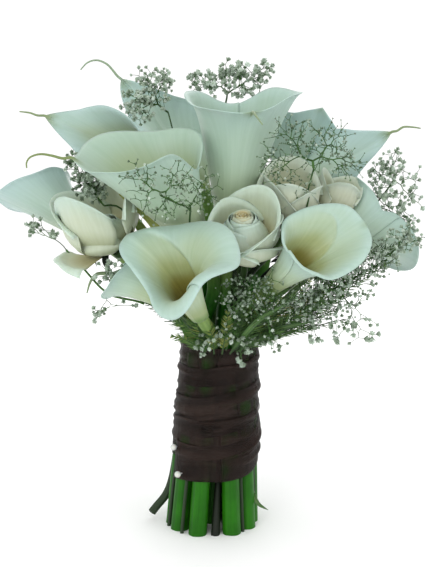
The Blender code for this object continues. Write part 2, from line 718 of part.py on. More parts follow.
def spray_pieces(spray, tree, random):
    """The overlapping pieces of one stem of baby's breath: its stem, twigs and blooms."""
    foot = bundle_point(spray.foot, SPRAY_RING_FOOT, spray.slot, SPRAY_RING_BINDING, 0.0)
    tied = bundle_point(spray.foot, SPRAY_RING_FOOT, spray.slot, SPRAY_RING_BINDING, BINDING_CENTRE.z)
    start, knee = foot, foot.lerp(tied, 38 / 155)
    if isinstance(spray.cut_end, tuple):
        start = Vector(spray.cut_end) * MM
    elif spray.cut_end:
        start = foot.lerp(tied, spray.cut_end * MM / BINDING_CENTRE.z)
        knee = start.lerp(tied, 0.3)
    line = [start, knee, tied, risen(tree, tied, heading(spray.slot, 0), SPRAY_STEM_RADIUS, random)]
    forks = []
    for number, fork in enumerate(spray.forks):
        fork = settled(tree, Vector(fork) * MM, 2.2 * MM, random)
        way = free_line(tree, line[-1], fork, SPRAY_STEM_RADIUS, random, 3 if number else 6)[1]
        line += way[1:]
        forks.append([fork, (way[-2] - way[-1]).normalized()])
    radii = [SPRAY_FOOT_RADIUS, SPRAY_FOOT_RADIUS * 0.85] + [SPRAY_STEM_RADIUS] * (len(line) - 3)
    radii += [TWIG_RADIUS * 1.3]
    pieces = [tube(line, radii, 4, foot_height=start.z)]
    for place in spray.blooms:
        centre = settled(tree, Vector(place) * MM, BLOOM_RADIUS + 0.7 * MM, random)
        nearest = min(forks, key=lambda f: (f[0] - centre).length)
        nearest[0] = nearest[0] + nearest[1] * 1.9 * MM
        near = nearest[0]
        way = [near, centre]
        gap = line_gap(tree, way, TWIG_RADIUS)
        if gap < 0.3 * MM:
            gap, way = free_line(tree, near, centre, TWIG_RADIUS, random, 4)
        end = centre + (way[-1] - way[-2]).normalized() * BLOOM_RADIUS
        if gap < 0.3 * MM or nearest_gap(tree, end) < 0.6 * MM:
            continue
        pieces.append(twig(way))
    return pieces


def clear_scene():
    """Removes whatever the scene holds."""
    for found in list(bpy.data.objects):
        bpy.data.objects.remove(found)


def main():
    clear_scene()
    white = material("calla_white", WHITE, 0.45)
    green = material("calla_green", CALLA_GREEN, 0.35)
    yellow = material("spadix_yellow", YELLOW, 0.7)
    cream = material("rose_cream", CREAM, 0.55)
    dark = material("rose_green", ROSE_GREEN, 0.6)
    grey = material("spray_white", SPRAY_GREY, 0.8)
    brown = material("ribbon_brown", RIBBON_BROWN, 0.7)
    pearl = material("pearl_white", PEARL, 0.2)
    made = []
    for calla in CALLAS:
        made.append(mesh_object(f"calla_{calla.name}_spathe", *spathe(calla), white))
        made.append(mesh_object(f"calla_{calla.name}_stem", *calla_stem(calla), green))
        made.append(mesh_object(f"calla_{calla.name}_spadix", *spadix(calla), yellow))
    for rose in ROSES:
        made.append(mesh_object(f"rose_{rose.name}_bloom", *rose_sheet(rose), cream))
        made.append(mesh_object(f"rose_{rose.name}_stem", *rose_stem(rose), dark))
    made.append(mesh_object("ribbon", *ribbon(), brown))
    for name, angle, height in PINS:
        hole = mesh_object("hole", *pin_hole(angle, height), brown)
        apply_boolean(bpy.data.objects["ribbon"], "DIFFERENCE", other=hole)
        apply_boolean(bpy.data.objects["calla_left_front_stem"], "DIFFERENCE", other=hole)
        bpy.data.objects.remove(hole)
        made.append(mesh_object(f"pin_{name}", *pin(angle, height), pearl))
    for number, spray in enumerate(SPRAYS):
        pieces = spray_pieces(spray, surface_tree(made), np.random.default_rng(40 + number))
        made.append(joined(f"spray_{spray.name}", pieces, grey))


main()
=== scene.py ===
"""The looks of a hand-tied bridal bouquet: callas, roses, baby's breath, ribbon and pearl pins.

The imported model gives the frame. Every piece here is a surface worked out with numpy and stands in
for the plain CAD nodes that it names. Metres, +Z up, -Y towards the side that the photograph shows.
"""

from __future__ import annotations

import heapq
import logging
import math
import sys
from dataclasses import dataclass, field
from enum import Enum

import bpy
import numpy as np
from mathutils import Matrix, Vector
from mathutils.bvhtree import BVHTree


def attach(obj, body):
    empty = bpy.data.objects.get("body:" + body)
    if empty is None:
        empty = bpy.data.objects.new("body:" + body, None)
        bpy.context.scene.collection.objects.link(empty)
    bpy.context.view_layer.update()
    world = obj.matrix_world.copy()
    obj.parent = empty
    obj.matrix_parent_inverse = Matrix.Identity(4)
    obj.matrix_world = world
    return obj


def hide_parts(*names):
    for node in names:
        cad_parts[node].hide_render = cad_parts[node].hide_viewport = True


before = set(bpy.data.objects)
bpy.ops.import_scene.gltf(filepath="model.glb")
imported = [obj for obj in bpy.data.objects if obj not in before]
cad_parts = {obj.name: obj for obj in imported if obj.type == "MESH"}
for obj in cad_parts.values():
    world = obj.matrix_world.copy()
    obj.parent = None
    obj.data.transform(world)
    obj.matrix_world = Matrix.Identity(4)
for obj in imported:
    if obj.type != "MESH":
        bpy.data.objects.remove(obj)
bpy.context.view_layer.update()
LOG = logging.getLogger("bouquet")
MM = 0.001
Array = np.ndarray
Stop = tuple[float, tuple[float, float, float]]

CAMERA_TARGET = np.array([0.0004, 0.0, 0.198])
CAMERA_DISTANCE = 0.85
CAMERA_RISE = math.radians(8.0)
CAMERA_AT = CAMERA_TARGET + CAMERA_DISTANCE * np.array([0.0, -math.cos(CAMERA_RISE), math.sin(CAMERA_RISE)])
CAMERA_LENS = 36 * 0.85 / 0.4536

BINDING_HEIGHT = 155.0
BINDING = np.array([6.4, 0.0, BINDING_HEIGHT]) * MM
FOOT_RING = 30.5 * MM
BINDING_RING = 23.1 * MM
HANDLE_FOOT, HANDLE_NARROWS, HANDLE_GAP = 38.0, 8.9, 0.45
RIBBON_LAYERS = 1.9


def unit(v: Array) -> Array:
    """Vectors of length one along the last axis."""
    return v / np.maximum(np.linalg.norm(v, axis=-1, keepdims=True), 1e-12)


def heading(degrees: float, rise: float = 0.0) -> Array:
    """A unit vector: heading 0 is the front (-Y), 90 the right (+X); rise is above the horizon."""
    h, r = math.radians(degrees), math.radians(rise)
    return np.array([math.sin(h) * math.cos(r), -math.cos(h) * math.cos(r), math.sin(r)])


def smooth(x: Array, low: float, high: float) -> Array:
    """0 below low, 1 above high, and the cubic step 3t^2 - 2t^3 between."""
    t = np.clip((np.asarray(x, float) - low) / (high - low), 0.0, 1.0)
    return t * t * (3 - 2 * t)


def at_pixel(x: Array, y: Array, depth: Array) -> Array:
    """World points seen at photograph pixels (425 by 567), at the given world Y.

    Args:
        x, y: pixel places.
        depth: world Y of each point in metres.
    Returns:
        Points, on the camera's ray through the pixel.
    """
    forward = unit(CAMERA_TARGET - CAMERA_AT)
    right = unit(np.cross(forward, [0.0, 0.0, 1.0]))
    up = np.cross(right, forward)
    scale = 36.0 / CAMERA_LENS / 567.0
    x, y = np.asarray(x, float)[..., None], np.asarray(y, float)[..., None]
    ray = forward + right * (x - 212.5) * scale - up * (y - 283.5) * scale
    return CAMERA_AT + ray * ((np.asarray(depth, float)[..., None] - CAMERA_AT[1]) / ray[..., 1:2])


def bundle_radius(height: Array | float) -> Array | float:
    """Millimetres from the handle's middle to the ribbon's inside, at a height in millimetres."""
    return HANDLE_FOOT - HANDLE_NARROWS * height / BINDING_HEIGHT + HANDLE_GAP


class Slot(Enum):
    """The record's material slots."""

    CALLA_WHITE = "calla_white"
    CALLA_GREEN = "calla_green"
    SPADIX = "spadix_yellow"
    ROSE_CREAM = "rose_cream"
    ROSE_GREEN = "rose_green"
    SPRAY = "spray_white"
    RIBBON = "ribbon_brown"
    PEARL = "pearl_white"


@dataclass
class Build:
    """Gathers grids of points into one mesh, with a UV pair and named values at each point."""

    points: list[Array] = field(default_factory=list)
    faces: list[Array] = field(default_factory=list)
    uvs: list[Array] = field(default_factory=list)
    values: dict[str, list[Array]] = field(default_factory=dict)
    count: int = 0

    def add(self, points: Array, faces: Array, uv: Array, **values: Array | float) -> None:
        """Adds points with their quads (n, 4) or triangles (n, 3), UV pairs and named values.

        Args:
            points: (n, 3) places.
            faces: point numbers of each face.
            uv: (n, 2) pairs.
            values: one number, or one for each point.
        """
        n = len(points)
        self.points.append(points)
        self.faces.append(np.asarray(faces, int) + self.count)
        self.uvs.append(uv)
        for name in set(self.values) | set(values):
            stored = self.values.setdefault(name, [np.zeros(self.count)] if self.count else [])
            stored.append(np.broadcast_to(np.asarray(values.get(name, 0.0), float), (n,)))
        self.count += n

    def object(self, name: str, look: bpy.types.Material, smooth_faces: bool = True) -> bpy.types.Object:
        """The mesh object of all that was added.

        Args:
            name: the piece's name.
            look: its material.
            smooth_faces: whether its faces are shaded smooth.
        Returns:
            The linked object, with UV map "UVMap" and one point attribute for each named value.
        """
        points = np.concatenate(self.points)
        corners = np.concatenate([f.ravel() for f in self.faces])
        totals = np.concatenate([np.full(len(f), f.shape[1]) for f in self.faces])
        mesh = bpy.data.meshes.new(name)
        mesh.vertices.add(len(points))
        mesh.vertices.foreach_set("co", points.astype(np.float32).ravel())
        mesh.loops.add(len(corners))
        mesh.loops.foreach_set("vertex_index", corners.astype(np.int32))
        mesh.polygons.add(len(totals))
        mesh.polygons.foreach_set("loop_start", (np.cumsum(totals) - totals).astype(np.int32))
        mesh.polygons.foreach_set("loop_total", totals.astype(np.int32))
        mesh.update(calc_edges=True)
        layer = mesh.uv_layers.new(name="UVMap")
        layer.data.foreach_set("uv", np.concatenate(self.uvs)[corners].astype(np.float32).ravel())
        for key, parts in self.values.items():
            mesh.attributes.new(key, "FLOAT", "POINT").data.foreach_set(
                "value", np.concatenate(parts).astype(np.float32)
            )
        mesh.polygons.foreach_set("use_smooth", np.full(len(totals), smooth_faces))
        mesh.materials.append(look)
        mesh.update()
        made = bpy.data.objects.new(name, mesh)
        bpy.context.scene.collection.objects.link(made)
        return made


def quads(rows: int, columns: int, closed: bool = False) -> Array:
    """Quads of a grid of points, row by row; closed joins the last column to the first.

    Args:
        rows, columns: size of the grid.
        closed: whether the last column meets the first.
    Returns:
        Four point numbers for each quad.
    """
    r = np.arange(rows - 1)[:, None]
    c = np.arange(columns if closed else columns - 1)[None, :]
    d = (c + 1) % columns
    a, b, e, f = r * columns + c, r * columns + d, (r + 1) * columns + d, (r + 1) * columns + c
    return np.stack(np.broadcast_arrays(a, b, e, f), axis=-1).reshape(-1, 4)


def grid_normals(surface: Array) -> Array:
    """Unit normals of a grid of points: columns' difference crossed with rows' difference."""
    return unit(np.cross(np.gradient(surface, axis=1), np.gradient(surface, axis=0)))


def add_sheet(build: Build, surface: Array, thickness: Array | float, **values: Array | float) -> None:
    """Adds a closed thin solid round a grid of points, half its thickness to each side.

    Args:
        build: where it goes.
        surface: (rows, columns, 3) points.
        thickness: one value or (rows, columns).
        values: named values on the grid. "inside" is set to 1 on the lower face.
    """
    rows, columns = surface.shape[:2]
    half = grid_normals(surface) * (np.broadcast_to(thickness, (rows, columns)) / 2)[..., None]
    top, low = (surface + half).reshape(-1, 3), (surface - half).reshape(-1, 3)
    n = rows * columns
    index = np.arange(n).reshape(rows, columns)
    edge = np.concatenate([index[0, :], index[1:, -1], index[-1, -2::-1], index[-2:0:-1, 0]])
    after = np.roll(edge, -1)
    face = quads(rows, columns)
    rim = np.stack([edge, edge + n, after + n, after], axis=1)
    u, v = np.meshgrid(np.linspace(0, 1, columns), np.linspace(0, 1, rows))
    uv = np.stack([u, v], axis=-1).reshape(-1, 2)
    flat = {k: np.tile(np.broadcast_to(w, (rows, columns)).ravel(), 2) for k, w in values.items()}
    flat["inside"] = np.concatenate([np.zeros(n), np.ones(n)])
    faces = np.concatenate([face, face[:, ::-1] + n, rim])
    build.add(np.concatenate([top, low]), faces, np.tile(uv, (2, 1)), **flat)


def ring_frames(line: Array) -> tuple[Array, Array, Array]:
    """Directions along a line of points, and two across it that turn as little as they can.

    Args:
        line: (rings, 3) points.
    Returns:
        Three arrays of unit vectors: along, side and across.
    """
    along = unit(np.gradient(line, axis=0))
    side = np.zeros_like(along)
    first = np.array([1.0, 0.13, 0.0]) if abs(along[0, 0]) < 0.9 else np.array([0.0, 1.0, 0.0])
    for i, way in enumerate(along):
        first = first - way * first.dot(way)
        first = first / np.linalg.norm(first)
        side[i] = first
    return along, side, np.cross(along, side)


def add_tube(
    build: Build,
    line: Array,
    radius: Array | float,
    sides: int = 8,
    foot: float | None = None,
    relief: Array | float = 0.0,
    **values: Array | float,
) -> None:
    """Adds a capped tube: a circle carried along a line, with its radius and relief at each ring.

    Args:
        build: where it goes.
        line: (rings, 3) points.
        radius: one value or one for each ring.
        sides: points round each ring.
        foot: height at which the first ring is cut level.
        relief: added to the radius, (rings, sides).
        values: named values for each ring. "along" runs from 0 to 1, and "cut" is 1 on the first cap.
    """
    rings = len(line)
    along, side, across = ring_frames(line)
    angle = np.arange(sides) * 2 * math.pi / sides
    r = np.broadcast_to(radius, (rings,))[:, None] + np.broadcast_to(relief, (rings, sides))
    ring = side[:, None] * (np.cos(angle) * r)[..., None] + across[:, None] * (np.sin(angle) * r)[..., None]
    points = line[:, None] + ring
    if foot is not None:
        drop = (foot - points[0, :, 2]) / along[0, 2]
        points[0] += along[0] * drop[:, None]
    share = np.linspace(0, 1, rings)
    uv = np.stack(np.broadcast_arrays(angle[None] / (2 * math.pi), share[:, None]), axis=-1).reshape(-1, 2)
    flat = {k: np.repeat(np.broadcast_to(v, (rings,)), sides) for k, v in values.items()}
    flat["along"] = np.repeat(share, sides)
    build.add(points.reshape(-1, 3), quads(rings, sides, closed=True), uv, **flat)
    for end, row, turn in ((0, points[0], -1), (rings - 1, points[-1], 1)):
        cap = np.concatenate([row, row.mean(axis=0, keepdims=True)])
        i = np.arange(sides)
        tri = np.stack([i, (i + 1) % sides, np.full(sides, sides)], axis=1)[:, ::turn]
        extra = {k: float(np.broadcast_to(v, (rings,))[end]) for k, v in values.items()}
        extra["along"] = share[end]
        extra["cut"] = 1.0 if end == 0 else 0.0
        build.add(cap, tri, np.full((sides + 1, 2), 0.5), **extra)


def spline(points: Array, count: int) -> Array:
    """A smooth line through points: Catmull-Rom pieces, read at even shares of its length.

    Args:
        points: what the line passes through.
        count: how many points it gets.
    Returns:
        The line's points.
    """
    p = np.concatenate([2 * points[:1] - points[1:2], points, 2 * points[-1:] - points[-2:-1]])
    t = np.linspace(0, len(points) - 1 - 1e-9, 16 * len(points))
    i = t.astype(int)
    f = (t - i)[:, None]
    a, b, c, d = p[i], p[i + 1], p[i + 2], p[i + 3]
    fine = b + 0.5 * f * (c - a + f * (2 * a - 5 * b + 4 * c - d + f * (3 * (b - c) + d - a)))
    length = np.concatenate([[0], np.cumsum(np.linalg.norm(np.diff(fine, axis=0), axis=1))])
    at = np.linspace(0, length[-1], count)
    return np.stack([np.interp(at, length, fine[:, k]) for k in range(3)], axis=1)


class Shader:
    """Builds one Principled material, node by node."""

    def __init__(self, name: str, roughness: float) -> None:
        """Starts a material.

        Args:
            name: the material's name.
            roughness: of its surface.
        """
        self.material = bpy.data.materials.new(name)
        self.material.use_nodes = True
        self.tree = self.material.node_tree
        self.surface = self.tree.nodes["Principled BSDF"]
        self.surface.inputs["Roughness"].default_value = roughness

    def set(self, **sockets: float | tuple[float, ...]) -> "Shader":
        """Sets the surface's own sockets, with spaces written as underscores.

        Returns:
            The shader itself.
        """
        for name, value in sockets.items():
            self.surface.inputs[name.replace("_", " ")].default_value = value
        return self

    def node(self, kind: str, **settings: object) -> bpy.types.Node:
        """A node of this kind, with these properties.

        Args:
            kind: the node's type.
            settings: properties to set on it.
        Returns:
            The node.
        """
        made = self.tree.nodes.new(kind)
        for name, value in settings.items():
            setattr(made, name, value)
        return made

    def value(self, name: str) -> bpy.types.NodeSocket:
        """The mesh's named value."""
        return self.node("ShaderNodeAttribute", attribute_name=name).outputs["Fac"]

    def group(self, tree: bpy.types.NodeTree, **inputs: object) -> bpy.types.Node:
        """A node group with its inputs set or linked.

        Args:
            tree: the group.
            inputs: values or sockets, with spaces written as underscores.
        Returns:
            The node.
        """
        made = self.node("ShaderNodeGroup", node_tree=tree)
        for name, given in inputs.items():
            self.feed(made.inputs[name.replace("_", " ")], given)
        return made

    def feed(self, socket: bpy.types.NodeSocket, given: object) -> None:
        """Links a socket to another, or sets its value.

        Args:
            socket: the input.
            given: a socket, a number or a colour.
        """
        if isinstance(given, bpy.types.NodeSocket):
            self.tree.links.new(given, socket)
        else:
            socket.default_value = (*given, 1.0) if isinstance(given, tuple) and len(given) == 3 else given

    def ramp(self, factor: object, stops: list[Stop]) -> bpy.types.NodeSocket:
        """A colour read from stops of (place, colour).

        Args:
            factor: where it is read, from 0 to 1.
            stops: places with their colours.
        Returns:
            The colour.
        """
        made = self.node("ShaderNodeValToRGB")
        ramp = made.color_ramp
        ramp.interpolation = "EASE"
        while len(ramp.elements) < len(stops):
            ramp.elements.new(0.5)
        for element, (place, colour) in zip(ramp.elements, stops):
            element.position = place
            element.color = (*colour, 1.0)
        self.feed(made.inputs["Fac"], factor)
        return made.outputs["Color"]

    def mix(self, factor: object, a: object, b: object, blend: str = "MIX") -> bpy.types.NodeSocket:
        """Two colours mixed by a factor.

        Args:
            factor: share of b.
            a, b: colours or sockets.
            blend: how they mix.
        Returns:
            The colour.
        """
        made = self.node("ShaderNodeMix", data_type="RGBA", blend_type=blend)
        self.feed(made.inputs["Factor"], factor)
        self.feed(made.inputs["A"], a)
        self.feed(made.inputs["B"], b)
        return made.outputs["Result"]

    def math(self, operation: str, a: object, b: object = 0.0) -> bpy.types.NodeSocket:
        """One sum of two numbers.

        Args:
            operation: its name in the node.
            a, b: numbers or sockets.
        Returns:
            The result.
        """
        made = self.node("ShaderNodeMath", operation=operation)
        self.feed(made.inputs[0], a)
        self.feed(made.inputs[1], b)
        return made.outputs[0]

    def colour(self, socket: bpy.types.NodeSocket) -> "Shader":
        """Feeds the base colour."""
        self.tree.links.new(socket, self.surface.inputs["Base Color"])
        return self

    def bump(self, height: bpy.types.NodeSocket, depth: float, strength: float = 1.0) -> "Shader":
        """Feeds the normal from a height, with this depth in metres.

        Args:
            height: a socket from 0 to 1.
            depth: how deep 1 is.
            strength: share of the effect.
        Returns:
            The shader itself.
        """
        made = self.node("ShaderNodeBump")
        made.inputs["Distance"].default_value = depth
        made.inputs["Strength"].default_value = strength
        self.feed(made.inputs["Height"], height)
        self.tree.links.new(made.outputs["Normal"], self.surface.inputs["Normal"])
        return self


def build_group(name: str, inputs: dict[str, float], outputs: tuple[str, ...]) -> bpy.types.NodeTree:
    """A node group with float inputs and outputs, still empty between them.

    Args:
        name: the group's name.
        inputs: each input's name and first value.
        outputs: the outputs' names.
    Returns:
        The group.
    """
    tree = bpy.data.node_groups.new(name, "ShaderNodeTree")
    for label, value in inputs.items():
        tree.interface.new_socket(label, in_out="INPUT", socket_type="NodeSocketFloat").default_value = value
    for label in outputs:
        tree.interface.new_socket(label, in_out="OUTPUT", socket_type="NodeSocketFloat")
    return tree


def veins_group() -> bpy.types.NodeTree:
    """Fine lines that run along a petal: noise on the UV map, drawn out along its second axis.

    Returns:
        A group with inputs Across and Along (scales) and outputs Lines and Clouds.
    """
    tree = build_group("petal_veins", {"Across": 60.0, "Along": 1.5}, ("Lines", "Clouds"))
    new, link = tree.nodes.new, tree.links.new
    entry, leave = new("NodeGroupInput"), new("NodeGroupOutput")
    uv, split, join = new("ShaderNodeUVMap"), new("ShaderNodeSeparateXYZ"), new("ShaderNodeCombineXYZ")
    uv.uv_map = "UVMap"
    link(uv.outputs["UV"], split.inputs[0])
    for axis, label in (("X", "Across"), ("Y", "Along")):
        times = new("ShaderNodeMath")
        times.operation = "MULTIPLY"
        link(split.outputs[axis], times.inputs[0])
        link(entry.outputs[label], times.inputs[1])
        link(times.outputs[0], join.inputs[axis])
    lines, clouds, place = new("ShaderNodeTexNoise"), new("ShaderNodeTexNoise"), new("ShaderNodeTexCoord")
    link(join.outputs[0], lines.inputs["Vector"])
    lines.inputs["Scale"].default_value = 1.0
    lines.inputs["Detail"].default_value = 4.0
    link(place.outputs["Object"], clouds.inputs["Vector"])
    clouds.inputs["Scale"].default_value = 45.0
    clouds.inputs["Detail"].default_value = 3.0
    link(lines.outputs["Fac"], leave.inputs["Lines"])
    link(clouds.outputs["Fac"], leave.inputs["Clouds"])
    return tree


@dataclass(frozen=True)
class SpatheLook:
    """The calla's spathe: bluish white at the rim, green-white below, olive-yellow in the throat and darker down
    in it as painted shade.
    """

    def make(self, veins: bpy.types.NodeTree) -> bpy.types.Material:
        """The material; it reads q (share from root to rim), inside, olive, warm and tint (a painted shade over
        the whole flower).

        Args:
            veins: the group of fine lines.
        Returns:
            The finished material.
        """
        s = Shader("calla_white_petal", 0.42)
        q, inside = s.value("q"), s.value("inside")
        soft = s.group(veins, Across=70.0, Along=1.2)
        wander = s.math("MULTIPLY_ADD", soft.outputs["Clouds"], 0.10)
        s.tree.nodes[-1].inputs[2].default_value = -0.05
        place = s.math("ADD", q, wander)
        outer = s.ramp(place, [(0.0, (0.13, 0.22, 0.056)), (0.12, (0.28, 0.345, 0.17)),
                               (0.34, (0.37, 0.46, 0.32)), (0.66, (0.40, 0.53, 0.455)), (1.0, (0.41, 0.56, 0.54))])
        # Inside: a real yellow-green throat, darkened to olive-ochre deep in the funnel as painted shade.
        inner = s.ramp(place, [(0.10, (0.15, 0.12, 0.014)), (0.28, (0.22, 0.20, 0.042)),
                               (0.46, (0.31, 0.35, 0.155)), (0.66, (0.36, 0.45, 0.31)),
                               (0.90, (0.375, 0.51, 0.45)), (1.0, (0.39, 0.53, 0.50))])
        body = s.mix(inside, outer, inner)
        # tint: painted shade, a darkening of the whole flower where it stands in shade.
        tint = s.ramp(s.value("tint"), [(0.0, (0.0, 0.0, 0.0)), (1.0, (1.0, 1.0, 1.0))])
        body = s.mix(1.0, body, tint, "MULTIPLY")
        body = s.mix(s.value("warm"), body, s.mix(1.0, body, (0.94, 0.93, 0.70), "MULTIPLY"))
        body = s.mix(s.math("MULTIPLY", s.value("olive"), 0.9), body, (0.16, 0.21, 0.04))
        lines = s.ramp(soft.outputs["Lines"], [(0.3, (0.90, 0.93, 0.90)), (0.7, (1.0, 1.0, 1.0))])
        body = s.mix(0.8, body, lines, "MULTIPLY")
        s.colour(body).bump(soft.outputs["Lines"], 0.0006, 0.5)
        s.set(Subsurface_Weight=0.12, Subsurface_Radius=(0.004, 0.005, 0.003), Sheen_Weight=0.12,
              Specular_IOR_Level=0.35)
        return s.material


@dataclass(frozen=True)
class StemLook:
    """A green stem: fine lines along it, darker in places, and a pale cut end."""

    name: str
    low: tuple[float, float, float]
    high: tuple[float, float, float]
    cut: tuple[float, float, float]
    roughness: float = 0.4

    def make(self, veins: bpy.types.NodeTree) -> bpy.types.Material:
        """The material; it reads along (share from cut to bloom) and cut (1 on the cut face).

        Args:
            veins: the group of fine lines.
        Returns:
            The finished material.
        """
        s = Shader(self.name, self.roughness)
        soft = s.group(veins, Across=18.0, Along=2.0)
        body = s.ramp(s.value("along"), [(0.0, self.low), (0.6, self.low), (0.97, self.high)])
        lines = s.ramp(soft.outputs["Lines"], [(0.3, (0.72, 0.78, 0.70)), (0.72, (1.08, 1.05, 1.0))])
        clouds = s.ramp(soft.outputs["Clouds"], [(0.35, (0.75, 0.8, 0.75)), (0.65, (1.1, 1.1, 1.05))])
        body = s.mix(1.0, s.mix(1.0, body, lines, "MULTIPLY"), clouds, "MULTIPLY")
        s.colour(s.mix(s.value("cut"), body, self.cut)).bump(soft.outputs["Lines"], 0.0008, 0.6)
        s.set(Specular_IOR_Level=0.16)
        return s.material


@dataclass(frozen=True)
class RoseLook:
    """Rose petals: cool cream outside, warmer and peach towards the heart and low on their inner faces; the
    heart's petals darken to brown below their rims, a warm heart with painted shade between the tight petals.
    """

    def make(self, veins: bpy.types.NodeTree) -> bpy.types.Material:
        """The material; it reads v (share from root to edge), heart (1 in the middle) and peach.

        Args:
            veins: the group of fine lines.
        Returns:
            The finished material.
        """
        s = Shader("rose_cream_petal", 0.5)
        soft = s.group(veins, Across=26.0, Along=2.0)
        v, heart = s.value("v"), s.value("heart")
        outer = s.ramp(v, [(0.0, (0.22, 0.30, 0.12)), (0.25, (0.40, 0.44, 0.28)), (0.6, (0.47, 0.53, 0.41)),
                           (1.0, (0.44, 0.56, 0.49))])
        inside = s.ramp(v, [(0.2, (0.44, 0.41, 0.21)), (0.6, (0.55, 0.61, 0.46)), (1.0, (0.53, 0.65, 0.56))])
        outer = s.mix(s.value("inside"), outer, inside)
        # Heart petals: dark brown below pale rims, a warmer heart and painted shade down between the tight petals.
        inner = s.ramp(v, [(0.3, (0.20, 0.10, 0.02)), (0.84, (0.26, 0.14, 0.03)), (0.97, (0.50, 0.40, 0.16)),
                           (1.0, (0.56, 0.54, 0.32))])
        body = s.mix(heart, outer, inner)
        body = s.mix(s.math("MULTIPLY", s.value("peach"), 0.5), body, (0.46, 0.38, 0.27))
        lines = s.ramp(soft.outputs["Lines"], [(0.3, (0.90, 0.90, 0.86)), (0.7, (1.0, 1.0, 1.0))])
        s.colour(s.mix(0.7, body, lines, "MULTIPLY")).bump(soft.outputs["Lines"], 0.0006, 0.4)
        s.set(Subsurface_Weight=0.3, Subsurface_Radius=(0.006, 0.006, 0.004), Sheen_Weight=0.1,
              Specular_IOR_Level=0.3)
        return s.material


@dataclass(frozen=True)
class PlainLook:
    """A finish mottled between two colours on the object's own coordinates."""

    name: str
    dark: tuple[float, float, float]
    light: tuple[float, float, float]
    grain: float
    roughness: float
    relief: float = 0.0004
    by_value: str = ""

    def make(self) -> bpy.types.Material:
        """The material; by_value names a mesh value that mixes dark to light before the mottling."""
        s = Shader(self.name, self.roughness)
        noise = s.node("ShaderNodeTexNoise")
        noise.inputs["Scale"].default_value = self.grain
        noise.inputs["Detail"].default_value = 4.0
        s.feed(noise.inputs["Vector"], s.node("ShaderNodeTexCoord").outputs["Object"])
        if self.by_value:
            body = s.mix(s.value(self.by_value), self.dark, self.light)
            shade = s.ramp(noise.outputs["Fac"], [(0.3, (0.78, 0.80, 0.78)), (0.7, (1.08, 1.08, 1.08))])
            body = s.mix(1.0, body, shade, "MULTIPLY")
        else:
            body = s.ramp(noise.outputs["Fac"], [(0.3, self.dark), (0.7, self.light)])
        s.colour(body).bump(noise.outputs["Fac"], self.relief)
        return s.material


@dataclass(frozen=True)
class RibbonLook:
    """Sheer dark ribbon: a fine weave, soft cross folds painted darker in their hollows and lighter on their rises
    as painted shade and light, a painted satin highlight on the wound folds' crests, and the green stems show
    through it.
    """

    def make(self) -> bpy.types.Material:
        """The material; it reads the UV map in metres along and across the ribbon."""
        s = Shader("ribbon_organza", 0.5)
        uv = s.node("ShaderNodeUVMap", uv_map="UVMap").outputs["UV"]
        wave = s.node("ShaderNodeTexWave", wave_type="BANDS", bands_direction="DIAGONAL")
        s.feed(wave.inputs["Vector"], uv)
        wave.inputs["Scale"].default_value = 900.0
        wave.inputs["Distortion"].default_value = 1.0
        folds = s.node("ShaderNodeTexNoise")
        turned = s.node("ShaderNodeMapping")
        turned.inputs["Scale"].default_value = (14.0, 260.0, 1.0)
        s.feed(turned.inputs["Vector"], uv)
        s.feed(folds.inputs["Vector"], turned.outputs["Vector"])
        folds.inputs["Scale"].default_value = 1.0
        folds.inputs["Detail"].default_value = 3.0
        # Painted light and shade of the folds: the noise that bumps the folds also makes the ribbon darker in
        # their hollows and lighter on their rises.
        body = s.ramp(folds.outputs["Fac"], [(0.30, (0.0032, 0.0010, 0.0005)), (0.52, (0.009, 0.0042, 0.0025)),
                                             (0.74, (0.018, 0.010, 0.007))])
        # Painted satin highlight: a lighter taupe on the crests of the wound folds.
        s.colour(s.mix(s.math("MULTIPLY", s.value("crest"), 0.55), body, (0.034, 0.020, 0.015)))
        height = s.math("MULTIPLY_ADD", wave.outputs["Fac"], 0.06)
        s.feed(s.tree.nodes[-1].inputs[2], folds.outputs["Fac"])
        s.bump(height, 0.0012, 0.9)
        spots = s.node("ShaderNodeTexNoise")
        s.feed(spots.inputs["Vector"], uv)
        spots.inputs["Scale"].default_value = 26.0
        thin = s.ramp(spots.outputs["Fac"], [(0.42, (0.86, 0.86, 0.86)), (0.66, (0.30, 0.30, 0.30))])
        clear = s.math("MULTIPLY_ADD", s.value("hem"), 0.22)
        s.feed(s.tree.nodes[-1].inputs[2], thin)
        s.tree.links.new(clear, s.surface.inputs["Alpha"])
        s.set(Specular_IOR_Level=0.15)
        return s.material


